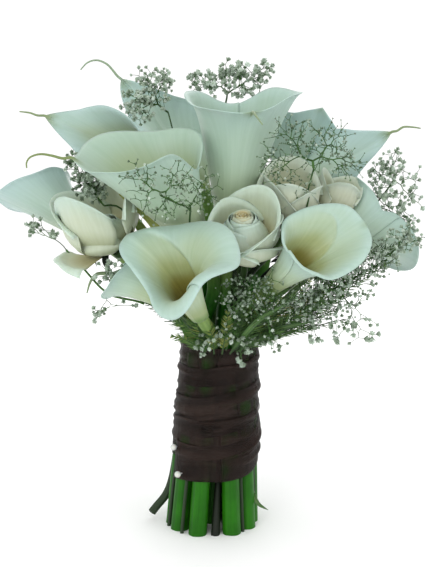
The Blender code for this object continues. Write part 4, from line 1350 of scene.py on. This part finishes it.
SPRAYS = [
    Spray("top_left", ((-29, 34, 312), (-36, 38, 334)),
          (Cloud(146, 94, 20, 24, 34, 10, 130), Cloud(134, 112, 12, 14, 28, 8, 40),
           Cloud(164, 80, 14, 13, 40, 8, 40)), bloom=(1.4, 2.6), green=0.1),
    Spray("top_centre", ((8, 44, 312), (11, 48, 340)),
          (Cloud(204, 84, 17, 13, 50, 8, 46), Cloud(234, 73, 22, 12, 54, 10, 70),
           Cloud(260, 74, 14, 13, 54, 8, 40), Cloud(238, 90, 26, 9, 48, 8, 34)), bloom=(1.8, 3.1)),
    Spray("right_big", ((67, -30, 242), (72, -40, 270), (76, -44, 291)),
          (Cloud(308, 138, 42, 23, -40, 10, 190), Cloud(272, 166, 16, 20, -48, 8, 70),
           Cloud(346, 162, 18, 22, -36, 8, 100), Cloud(298, 182, 26, 16, -44, 8, 50)),
          bloom=(0.6, 1.25), green=0.8),
    Spray("centre_left", ((-17, -42, 243), (-16, -80, 265), (-36, -104, 274)),
          (Cloud(145, 180, 24, 20, -108, 8, 70), Cloud(178, 180, 18, 20, -106, 8, 50),
           Cloud(200, 190, 20, 22, -94, 8, 90), Cloud(165, 210, 28, 14, -100, 8, 50)),
          bloom=(0.6, 1.35), green=0.75),
    Spray("right_edge", ((102, 6, 236), (131, 10, 259), (145, 6, 280)),
          (Cloud(393, 172, 24, 22, 4, 10, 80), Cloud(402, 205, 18, 22, 2, 10, 60),
           Cloud(378, 190, 14, 22, 2, 8, 40), Cloud(411, 228, 8, 14, -6, 6, 22))),
    Spray("right_low", ((70, -12, 187), (103, -30, 202), (138, -30, 222)),
          (Cloud(334, 284, 38, 24, -38, 12, 240), Cloud(376, 258, 26, 17, -30, 8, 160),
           Cloud(406, 238, 18, 12, -34, 6, 90),
           Cloud(308, 304, 36, 20, -42, 12, 150), Cloud(340, 328, 36, 15, -40, 10, 60)),
          bloom=(1.1, 2.1), green=0.4, low=0.75),
    Spray("lower_centre", ((18, -50, 176), (25, -62, 194), (37, -60, 180)),
          (Cloud(238, 298, 22, 20, -64, 8, 120), Cloud(266, 306, 24, 22, -60, 10, 120),
           Cloud(228, 332, 20, 14, -52, 8, 40), Cloud(258, 282, 24, 14, -62, 8, 80),
           Cloud(258, 342, 26, 14, -44, 8, 44), Cloud(204, 340, 14, 11, -46, 6, 20),
           Cloud(239, 364, 4, 7, -47, 3, 7), Cloud(204, 354, 4, 4, -46, 3, 4)),
          bloom=(0.7, 1.7), green=0.75, low=0.55),
    Spray("left_low", ((-57, -4, 185), (-82, -24, 193), (-115, -6, 226)),
          (Cloud(34, 226, 10, 9, 8, 6, 22), Cloud(56, 234, 6, 6, 0, 6, 10),
           Cloud(103, 270, 18, 13, -42, 6, 30), Cloud(98, 316, 8, 9, -26, 6, 14),
           Cloud(132, 303, 8, 8, -40, 6, 12)), bloom=(1.6, 2.6), foot=3.6, stem=1.0),
    Spray("left_high", ((-52, -12, 217), (-83, -24, 262)),
          (Cloud(88, 182, 17, 15, -30, 8, 90), Cloud(72, 162, 10, 14, -22, 6, 24),
           Cloud(96, 190, 12, 12, -24, 6, 40)), green=0.6),
    Spray("back_high", ((29, 64, 261), (43, 80, 294)),
          (Cloud(262, 150, 28, 32, 96, 14, 130), Cloud(232, 180, 26, 24, 100, 8, 80),
           Cloud(292, 180, 24, 24, 96, 10, 70))),
]


@dataclass(frozen=True)
class SprayLook:
    """Baby's breath: dark green twigs and chalky grey-white petals, by the mesh value part."""

    def make(self) -> bpy.types.Material:
        """The material; it reads part (0 twig, 1 petal) and tone (a number for each bloom)."""
        s = Shader("spray_white_petal", 0.6)
        noise = s.node("ShaderNodeTexNoise")
        noise.inputs["Scale"].default_value = 900.0
        s.feed(noise.inputs["Vector"], s.node("ShaderNodeTexCoord").outputs["Object"])
        tone = s.value("tone")
        twig = s.ramp(tone, [(0.0, (0.016, 0.034, 0.012)), (0.3, (0.024, 0.066, 0.014)),
                             (1.0, (0.055, 0.14, 0.028))])
        petal = s.ramp(tone, [(0.0, (0.33, 0.42, 0.31)), (0.5, (0.48, 0.57, 0.48)), (1.0, (0.66, 0.74, 0.69))])
        body = s.mix(s.math("POWER", s.value("part"), 1.4), twig, petal)
        shade = s.ramp(noise.outputs["Fac"], [(0.3, (0.85, 0.86, 0.82)), (0.7, (1.05, 1.05, 1.05))])
        s.colour(s.mix(1.0, body, shade, "MULTIPLY")).bump(noise.outputs["Fac"], 0.0003, 0.4)
        s.set(Subsurface_Weight=0.1, Subsurface_Radius=(0.001, 0.0012, 0.001), Specular_IOR_Level=0.3)
        return s.material


@dataclass(frozen=True)
class Frond:
    """A feathery leaf: a thin rib with fine leaflets in pairs. Pixels, and millimetres of world Y."""

    foot: tuple[float, float, float]
    bend: tuple[float, float, float]
    tip: tuple[float, float, float]
    reach: float
    pairs: int = 22
    bright: float = 0.0

    def grow(self, build: Build, rng: np.random.Generator) -> None:
        """Adds the rib, and leaflets that lean towards the tip and shorten at both ends.

        Args:
            build: the mesh it joins.
            rng: source of the differences.
        """
        stops = np.array([self.foot, self.bend, self.tip])
        line = spline(at_pixel(stops[:, 0], stops[:, 1], stops[:, 2] * MM), 40)
        add_tube(build, line, np.linspace(0.7, 0.25, 40) * MM, 5, tone=0.2)
        along, side, across = ring_frames(line)
        for k in range(self.pairs):
            share = 0.16 + 0.82 * k / self.pairs
            i = int(share * 39)
            length = self.reach * MM * (math.sin(math.pi * share**0.8) ** 0.7 + 0.15)
            for hand in (-1, 1):
                way = unit(hand * (side[i] * 0.95 + across[i] * rng.normal(0, 0.25)) + along[i] * 0.75)
                t = np.linspace(0, 1, 4)[:, None]
                leaf = line[i] + way * length * t + along[i] * length * 0.25 * t**2
                add_tube(build, leaf, np.array([0.36, 0.44, 0.34, 0.1]) * MM, 3,
                         tone=rng.uniform(0, 0.7) + self.bright)


@dataclass(frozen=True)
class Blade:
    """A sword-shaped leaf, through its foot, bend and tip. Pixels, and millimetres of world Y."""

    foot: tuple[float, float, float]
    bend: tuple[float, float, float]
    tip: tuple[float, float, float]
    width: float
    face: float = 0.0
    tone: float = 0.5

    def grow(self, build: Build) -> None:
        """Adds the leaf: widest below its middle, folded along its rib into a shallow V.

        Args:
            build: the mesh it joins.
        """
        stops = np.array([self.foot, self.bend, self.tip])
        line = spline(at_pixel(stops[:, 0], stops[:, 1], stops[:, 2] * MM), 36)
        along = unit(np.gradient(line, axis=0))
        turn = math.radians(self.face)
        wide = unit(np.cross(along, [math.sin(turn), -math.cos(turn), 0.15]))
        up = np.cross(wide, along)
        t = np.linspace(0, 1, 36)
        half = self.width / 2 * MM * np.clip(np.sin(math.pi * t**0.75), 0.05, 1) ** 0.8
        w = np.linspace(-1, 1, 9)
        surface = line[:, None] + wide[:, None] * (half[:, None] * w)[..., None]
        surface = surface + up[:, None] * (half[:, None] * 0.28 * np.abs(w))[..., None]
        add_sheet(build, surface, 0.4 * MM, tone=self.tone, rib=np.exp(-((w[None] / 0.12) ** 2)))


FRONDS = [
    Frond((232, 352, -32), (262, 320, -54), (300, 292, -66), 8.5),
    Frond((236, 352, -30), (285, 322, -44), (330, 300, -52), 8.0),
    Frond((226, 350, -34), (238, 312, -58), (252, 282, -68), 7.0),
    Frond((238, 350, -20), (300, 330, -28), (352, 318, -36), 8.0),
    Frond((236, 348, 20), (300, 300, 60), (350, 262, 84), 9.0),
    Frond((222, 348, 24), (190, 300, 66), (160, 262, 84), 9.0),
    Frond((214, 350, -22), (176, 322, -34), (142, 300, -44), 7.0),
    Frond((206, 352, -30), (190, 330, -44), (172, 320, -48), 7.0, 34, 0.3),
    Frond((204, 352, -26), (186, 340, -38), (170, 336, -42), 6.0, 30, 0.4),
    Frond((210, 352, -34), (196, 324, -50), (186, 306, -58), 7.0, 34, 0.3),
    Frond((214, 354, -34), (212, 336, -50), (204, 318, -60), 6.0, 30, 0.5),
    Frond((222, 354, -34), (226, 330, -52), (228, 310, -62), 6.0, 30, 0.5),
    Frond((230, 354, -32), (240, 332, -46), (246, 300, -56), 7.0, 34, 0.1),
    Frond((240, 352, -30), (252, 330, -48), (264, 306, -58), 7.0, 34, 0.1),
    Frond((238, 352, -26), (260, 338, -40), (284, 330, -50), 7.0, 34, 0.1),
    Frond((238, 350, -14), (292, 318, -24), (336, 282, -32), 9.0, 44, 0.3),
    Frond((240, 350, -12), (306, 318, -18), (352, 292, -24), 8.0, 44, 0.1),
    Frond((238, 350, -18), (324, 304, -30), (396, 258, -34), 7.0, 46, 0.1),
    Frond((240, 350, -8), (330, 300, -14), (404, 240, -16), 7.0, 46),
    Frond((236, 350, -26), (268, 312, -44), (288, 276, -54), 9.0, 40, 0.35),
    Frond((238, 350, -24), (284, 308, -40), (312, 278, -48), 9.0, 42, 0.35),
    Frond((238, 350, -22), (290, 316, -34), (330, 292, -42), 9.0, 42, 0.25),
    Frond((240, 350, -18), (296, 326, -28), (344, 306, -36), 8.0, 42, 0.15),
    Frond((238, 350, -16), (300, 304, -26), (350, 266, -32), 9.0, 46, 0.2),
    Frond((240, 350, -10), (310, 306, -18), (368, 262, -26), 9.0, 46, 0.1),
    Frond((240, 350, -22), (280, 334, -32), (318, 328, -38), 7.0, 34, 0.1),
    Frond((240, 350, -10), (316, 304, -20), (368, 268, -28), 8.0, 46, 0.1),
    Frond((236, 350, -30), (258, 316, -50), (270, 288, -60), 8.0, 36, 0.3),
    Frond((300, 300, -20), (350, 262, -26), (398, 244, -26), 8.0, 36, 0.1),
    Frond((150, 290, 4), (112, 235, 14), (88, 174, 4), 8.0, 44),
    Frond((150, 280, 8), (124, 230, 20), (102, 172, 10), 8.0, 44, 0.1),
    Frond((214, 350, 24), (165, 290, 44), (124, 212, 40), 9.0, 44, 0.1),
    Frond((232, 350, 24), (262, 262, 52), (268, 168, 34), 8.0, 44, 0.1),
    Frond((226, 350, 4), (237, 302, 16), (241, 262, 26), 8.0, 40, 0.1),
]
BLADES = [
    Blade((205, 352, -10), (164, 240, -24), (119, 194, -36), 10.0, -20, 1.0),
    Blade((212, 350, -30), (196, 330, -44), (176, 312, -52), 7.0, -20, 0.1),
    Blade((232, 350, -34), (256, 322, -58), (286, 304, -70), 4.5, 20, 0.35),
    Blade((236, 350, -28), (276, 330, -44), (312, 322, -58), 5.0, 25, 0.2),
    Blade((225, 350, 28), (228, 290, 70), (236, 236, 96), 9.0, 180, 0.3),
    Blade((240, 350, 24), (286, 300, 66), (318, 262, 92), 8.0, 160, 0.25),
    Blade((214, 350, 24), (182, 300, 62), (150, 250, 78), 8.0, 200, 0.35),
    Blade((208, 350, 6), (166, 270, 16), (124, 200, 22), 15.0, -15, 0.9),
    Blade((226, 350, 16), (258, 262, 34), (270, 176, 34), 13.0, 10, 0.7),
    Blade((224, 350, 10), (234, 300, 28), (240, 250, 40), 14.0, 0, 0.15),
    Blade((214, 350, 8), (217, 308, 22), (224, 258, 36), 16.0, 0, 0.3),
    Blade((230, 350, 14), (246, 304, 30), (258, 258, 40), 12.0, 15, 0.25),
    Blade((248, 482, -10), (257, 502, -14), (268, 510, -16), 4.0, 0, 0.4),
]


@dataclass
class Ribbon:
    """The ribbon wound round the stems. Lengths in millimetres.

    It winds from the top down, and each newer turn lies over the lower part of the turn before. Its end
    hangs straight under two pins at the front left. edges are the heights of its lower edge at the turns
    given by turned, counted from that end.
    """

    width: float = 31.0
    turned: tuple[float, ...] = (0.0, 0.17, 0.42, 1.0, 1.17, 1.6, 2.17, 2.6, 3.17, 3.6, 4.17, 4.6)
    edges: tuple[float, ...] = (43.5, 45.0, 57.0, 60.5, 65.5, 79.0, 86.0, 101.0, 107.0, 119.0, 123.0, 125.0)
    end_heading: float = -62.0
    layer: float = 0.55
    thickness: float = 0.16

    def surface(self) -> tuple[Array, Array, float]:
        """Points (along, across), how far each stands up in a fold, and the middle line's length.

        Heading grows with the distance from the end; height is the lower edge plus the share across, and
        sags at the front; radius is the bundle's, plus a layer for each turn beneath, plus long folds
        that wander across the ribbon, each a narrow bell.
        """
        rows, columns = 520, 35
        a = np.linspace(0, self.turned[-1], rows)
        lower = np.interp(a, self.turned, self.edges)
        for _ in range(60):
            lower[1:-1] = (lower[:-2] + 2 * lower[1:-1] + lower[2:]) / 4
        a, lower = (2 * math.pi * a)[:, None], lower[:, None]
        turn = math.radians(self.end_heading) + a
        w = np.linspace(0, 1, columns)[None]
        inner = smooth(a, 0.8, 2.0) * (1 - smooth(a, 24.0, 27.5))
        sag = -3.6 * (0.5 + 0.5 * np.cos(turn - 0.1)) ** 2 * (1 + 0.6 * np.sin(0.47 * a + 2)) * inner
        ruffle = (0.7 * np.sin(2.3 * a + 0.5) + 0.5 * np.sin(5.1 * a)) * inner
        height = lower + self.width * w * (1 - 0.06 * np.sin(1.7 * a)) + sag + ruffle
        height = np.minimum(height, 156.8)
        beneath = w * self.width / 17.0
        folds = 0.0
        rng = np.random.default_rng(5)
        for _ in range(11):
            at, rate, fine = rng.uniform(0.0, 1.0), rng.uniform(0.3, 1.1), rng.uniform(0.035, 0.08)
            drift = at + 0.18 * np.sin(rate * a + rng.uniform(0, 6))
            swell = 0.5 + 0.5 * np.sin(1.3 * rate * a + rng.uniform(0, 6))
            folds = folds + 0.95 * swell * np.exp(-(((w - drift) / fine) ** 2))
        radius = bundle_radius(height) + 0.10 + self.layer * beneath + folds
        middle = BINDING * (height[..., None] / BINDING_HEIGHT)
        out = np.stack(np.broadcast_arrays(np.sin(turn), -np.cos(turn), 0 * turn), axis=-1)
        points = middle * np.ones((rows, columns, 1)) + out * (radius * MM)[..., None]
        centre = points[:, columns // 2]
        return points, np.clip(folds / 1.1, 0, 1), float(np.linalg.norm(np.diff(centre, axis=0), axis=1).sum())

    def make(self, look: bpy.types.Material) -> bpy.types.Object:
        """The ribbon piece, with a UV map in metres and the value hem along its two edges.

        Args:
            look: its material.
        Returns:
            The finished piece.
        """
        points, crest, length = self.surface()
        build = Build()
        w = np.linspace(0, 1, points.shape[1])[None]
        hem = np.exp(-((np.minimum(w, 1 - w) / 0.035) ** 2)) + 0 * points[..., 0]
        # The share of each fold's crest carries the painted satin highlight.
        add_sheet(build, points[:, ::-1], self.thickness * MM, hem=hem, crest=crest[:, ::-1])
        build.uvs[-1] = build.uvs[-1] * np.array([self.width * MM, length])
        piece = build.object("ribbon_wrap", look)
        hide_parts("ribbon")
        return piece


@dataclass(frozen=True)
class PearlPin:
    """A pin with a pearl head, pushed into the ribbon."""

    name: str
    heading: float
    height: float
    radius: float = 2.6
    shank: float = 13.0

    def make(self, pearl: bpy.types.Material) -> bpy.types.Object:
        """The pin: a ball turned from a half circle of 20 steps, in one with its thin shank.

        Args:
            pearl: its material.
        Returns:
            The finished piece.
        """
        out = heading(self.heading)
        middle = BINDING * (self.height / BINDING_HEIGHT)
        start = middle + out * (bundle_radius(self.height) + RIBBON_LAYERS + 0.4) * MM
        centre = start + out * self.radius * MM
        turn = np.linspace(0.18, math.pi - 0.02, 22)
        line = centre - out * (np.cos(turn) * self.radius * MM)[:, None]
        radius = np.sin(turn) * self.radius * MM
        shank = start - out * np.linspace(self.shank, 0.1, 6)[:, None] * MM
        line = np.concatenate([shank, line])
        build = Build()
        add_tube(build, line, np.concatenate([np.full(6, 0.45 * MM), radius]), 28)
        piece = build.object(self.name + "_pearl", pearl)
        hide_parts(self.name)
        return piece


@dataclass(frozen=True)
class PearlLook:
    """A pearl: milky white under a clear coat, with a faint painted sheen of rose and green by how it faces the
    camera, and painted shade darker towards its rim.
    """

    def make(self) -> bpy.types.Material:
        """The material."""
        s = Shader("pearl_white_ball", 0.22)
        # Colour by facing the camera: a painted sheen, warm white where the pearl faces the camera, faintly green
        # midway and darker rose-grey at the rim as painted shade.
        facing = s.node("ShaderNodeLayerWeight")
        facing.inputs["Blend"].default_value = 0.35
        s.colour(s.ramp(facing.outputs["Facing"], [(0.0, (0.58, 0.57, 0.53)), (0.5, (0.55, 0.57, 0.56)),
                                                   (1.0, (0.46, 0.43, 0.45))]))
        s.set(Coat_Weight=0.6, Coat_Roughness=0.12, Specular_IOR_Level=0.6, Subsurface_Weight=0.1)
        return s.material


@dataclass(frozen=True)
class GreenLook:
    """Leaves: mottled green between a dark and a light one by tone, with a paler rib."""

    def make(self, veins: bpy.types.NodeTree) -> bpy.types.Material:
        """The material; it reads tone and rib.

        Args:
            veins: the group of fine lines.
        Returns:
            The finished material.
        """
        s = Shader("leaf_green", 0.45)
        soft = s.group(veins, Across=30.0, Along=4.0)
        body = s.ramp(s.value("tone"), [(0.0, (0.018, 0.050, 0.012)), (0.5, (0.050, 0.130, 0.022)),
                                        (0.8, (0.11, 0.22, 0.040)), (1.0, (0.26, 0.30, 0.070))])
        body = s.mix(s.math("MULTIPLY", s.value("rib"), 0.5), body, (0.16, 0.24, 0.07))
        shade = s.ramp(soft.outputs["Lines"], [(0.3, (0.72, 0.75, 0.7)), (0.7, (1.12, 1.1, 1.05))])
        s.colour(s.mix(1.0, body, shade, "MULTIPLY")).bump(soft.outputs["Lines"], 0.0006, 0.5)
        s.set(Specular_IOR_Level=0.45)
        return s.material


@dataclass
class Bouquet:
    """The whole bouquet: makes every piece and reports it."""

    made: list[str] = field(default_factory=list)

    def keep(self, piece: bpy.types.Object, slot: Slot, *nodes: str) -> None:
        """Makes a piece ride on the body and stand for its nodes.

        Args:
            piece: the finished piece.
            slot: its material slot; not used.
            nodes: the solids it stands for.
        """
        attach(piece, "root")
        if nodes:
            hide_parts(*nodes)
        self.made.append(piece.name)
        LOG.info("%s: %d faces", piece.name, len(piece.data.polygons))

    def callas(self, veins: bpy.types.NodeTree) -> None:
        """Spathes, stems and spadices of the twelve callas.

        Args:
            veins: the group of fine lines.
        """
        white = SpatheLook().make(veins)
        green = StemLook("calla_green_stem", (0.016, 0.130, 0.003), (0.20, 0.30, 0.10),
                         (0.42, 0.50, 0.30)).make(veins)
        yellow = PlainLook("spadix_yellow_knobs", (0.50, 0.30, 0.03), (0.66, 0.46, 0.08), 700, 0.6).make()
        stems, spadices = Build(), Build()
        for calla in CALLAS:
            build = Build()
            calla.spathe(build)
            calla.tip_tail(build)
            self.keep(build.object(f"calla_{calla.name}_petal", white), Slot.CALLA_WHITE,
                      f"calla_{calla.name}_spathe")
            calla.stem(stems)
            calla.spadix(spadices)
        self.keep(stems.object("calla_stems", green), Slot.CALLA_GREEN,
                  *[f"calla_{c.name}_stem" for c in CALLAS])
        self.keep(spadices.object("calla_spadices", yellow), Slot.SPADIX,
                  *[f"calla_{c.name}_spadix" for c in CALLAS])

    def roses(self, veins: bpy.types.NodeTree) -> None:
        """Blooms and stems of the five roses.

        Args:
            veins: the group of fine lines.
        """
        cream = RoseLook().make(veins)
        green = StemLook("rose_green_stem", (0.009, 0.013, 0.008), (0.05, 0.11, 0.03), (0.36, 0.40, 0.34),
                         0.5).make(veins)
        stems = Build()
        for rose in ROSES:
            build = Build()
            rose.bloom(build)
            self.keep(build.object(f"rose_{rose.name}_petals", cream), Slot.ROSE_CREAM,
                      f"rose_{rose.name}_bloom")
            rose.stem(stems)
            rose.sepals(stems)
        self.keep(stems.object("rose_stems", green), Slot.ROSE_GREEN, *[f"rose_{r.name}_stem" for r in ROSES])

    def walls(self) -> BVHTree:
        """The flowers that twigs keep clear of, from the solids' own points and faces.

        Returns:
            One search tree of all their faces.
        """
        points, faces, count = [], [], 0
        for name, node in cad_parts.items():
            if name.startswith("spray") or name.startswith("pin"):
                continue
            co = np.empty(len(node.data.vertices) * 3)
            node.data.vertices.foreach_get("co", co)
            corner = np.empty(len(node.data.loops), int)
            node.data.loops.foreach_get("vertex_index", corner)
            points.append(co.reshape(-1, 3))
            faces.append(corner.reshape(-1, 3) + count)
            count += len(co) // 3
        return BVHTree.FromPolygons(np.concatenate(points).tolist(), np.concatenate(faces).tolist())

    def sprays(self) -> None:
        """The ten sprays of baby's breath."""
        look, walls = SprayLook().make(), self.walls()
        for spray in SPRAYS:
            self.keep(grow_spray(spray, walls, look), Slot.SPRAY, f"spray_{spray.name}")

    def greens(self, veins: bpy.types.NodeTree) -> None:
        """Feathery fronds and sword-shaped leaves over the binding.

        Args:
            veins: the group of fine lines.
        """
        rng = np.random.default_rng(11)
        look = GreenLook().make(veins)
        fronds, blades = Build(), Build()
        for frond in FRONDS:
            frond.grow(fronds, rng)
        for blade in BLADES:
            blade.grow(blades)
        self.keep(fronds.object("green_fronds", look), Slot.ROSE_GREEN)
        self.keep(blades.object("green_blades", look), Slot.ROSE_GREEN)

    def binding(self) -> None:
        """The ribbon and its two pearl pins."""
        self.keep(Ribbon().make(RibbonLook().make()), Slot.RIBBON)
        pearl = PearlLook().make()
        for pin in (PearlPin("pin_high", -58.5, 69), PearlPin("pin_low", -46, 49)):
            self.keep(pin.make(pearl), Slot.PEARL)


@dataclass
class Studio:
    """Plain pale floor, soft light, and the camera of the photograph."""

    def floor(self) -> None:
        """A wide round floor at height zero."""
        angle = np.arange(96) * 2 * math.pi / 96
        rim = np.stack([12 * np.cos(angle), 12 * np.sin(angle), 0 * angle], axis=1)
        mesh = bpy.data.meshes.new("studio_floor")
        mesh.from_pydata(rim.tolist(), [], [list(range(96))])
        s = Shader("studio_floor_paint", 0.8)
        s.set(Base_Color=(0.99, 0.99, 0.99, 1.0), Specular_IOR_Level=0.0)
        mesh.materials.append(s.material)
        made = bpy.data.objects.new("studio_floor", mesh)
        bpy.context.scene.collection.objects.link(made)

    def light(self, name: str, at: tuple[float, float, float], size: float, power: float,
              colour: tuple[float, float, float] = (1.0, 1.0, 1.0)) -> None:
        """A square soft light that looks at the bouquet.

        Args:
            name: the lamp's name.
            at: its place.
            size: its side.
            power: in watts.
            colour: its tint.
        """
        lamp = bpy.data.lights.new(name, "AREA")
        lamp.energy, lamp.size, lamp.color = power, size, colour
        made = bpy.data.objects.new(name, lamp)
        made.location = at
        made.rotation_euler = (Vector((0, 0, 0.24)) - Vector(at)).to_track_quat("-Z", "Y").to_euler()
        bpy.context.scene.collection.objects.link(made)

    def world(self) -> None:
        """An even white surround."""
        world = bpy.data.worlds.new("studio_world")
        world.use_nodes = True
        back = world.node_tree.nodes["Background"]
        back.inputs["Color"].default_value = (1.0, 1.0, 1.0, 1.0)
        back.inputs["Strength"].default_value = 1.08
        bpy.context.scene.world = world

    def camera(self) -> None:
        """The camera, 8 degrees above the horizon, looking at the middle of the photograph."""
        data = bpy.data.cameras.new("photograph_camera")
        data.lens, data.sensor_width, data.clip_start = CAMERA_LENS, 36.0, 0.01
        made = bpy.data.objects.new("photograph_camera", data)
        made.location = Vector(CAMERA_AT)
        made.rotation_euler = Vector(CAMERA_TARGET - CAMERA_AT).to_track_quat("-Z", "Y").to_euler()
        bpy.context.scene.collection.objects.link(made)
        bpy.context.scene.camera = made

    def make(self) -> None:
        """Sets up the stage."""
        self.floor()
        self.world()
        self.light("key_light", (-0.8, -1.7, 0.75), 1.0, 11.5)
        self.light("side_light", (1.5, -0.9, 0.6), 1.0, 4.0)
        self.light("back_light", (0.2, 1.6, 0.8), 1.2, 6.0)
        self.camera()
        bpy.context.scene.view_settings.view_transform = "Standard"


def main() -> None:
    """Makes the bouquet and its stage."""
    logging.basicConfig(level=logging.INFO, format="%(name)s: %(message)s", stream=sys.stdout)
    veins = veins_group()
    bouquet = Bouquet()
    bouquet.callas(veins)
    bouquet.roses(veins)
    bouquet.binding()
    bouquet.greens(veins)
    bouquet.sprays()
    Studio().make()
    LOG.info("%d pieces", len(bouquet.made))


if __name__ == "__main__":
    main()
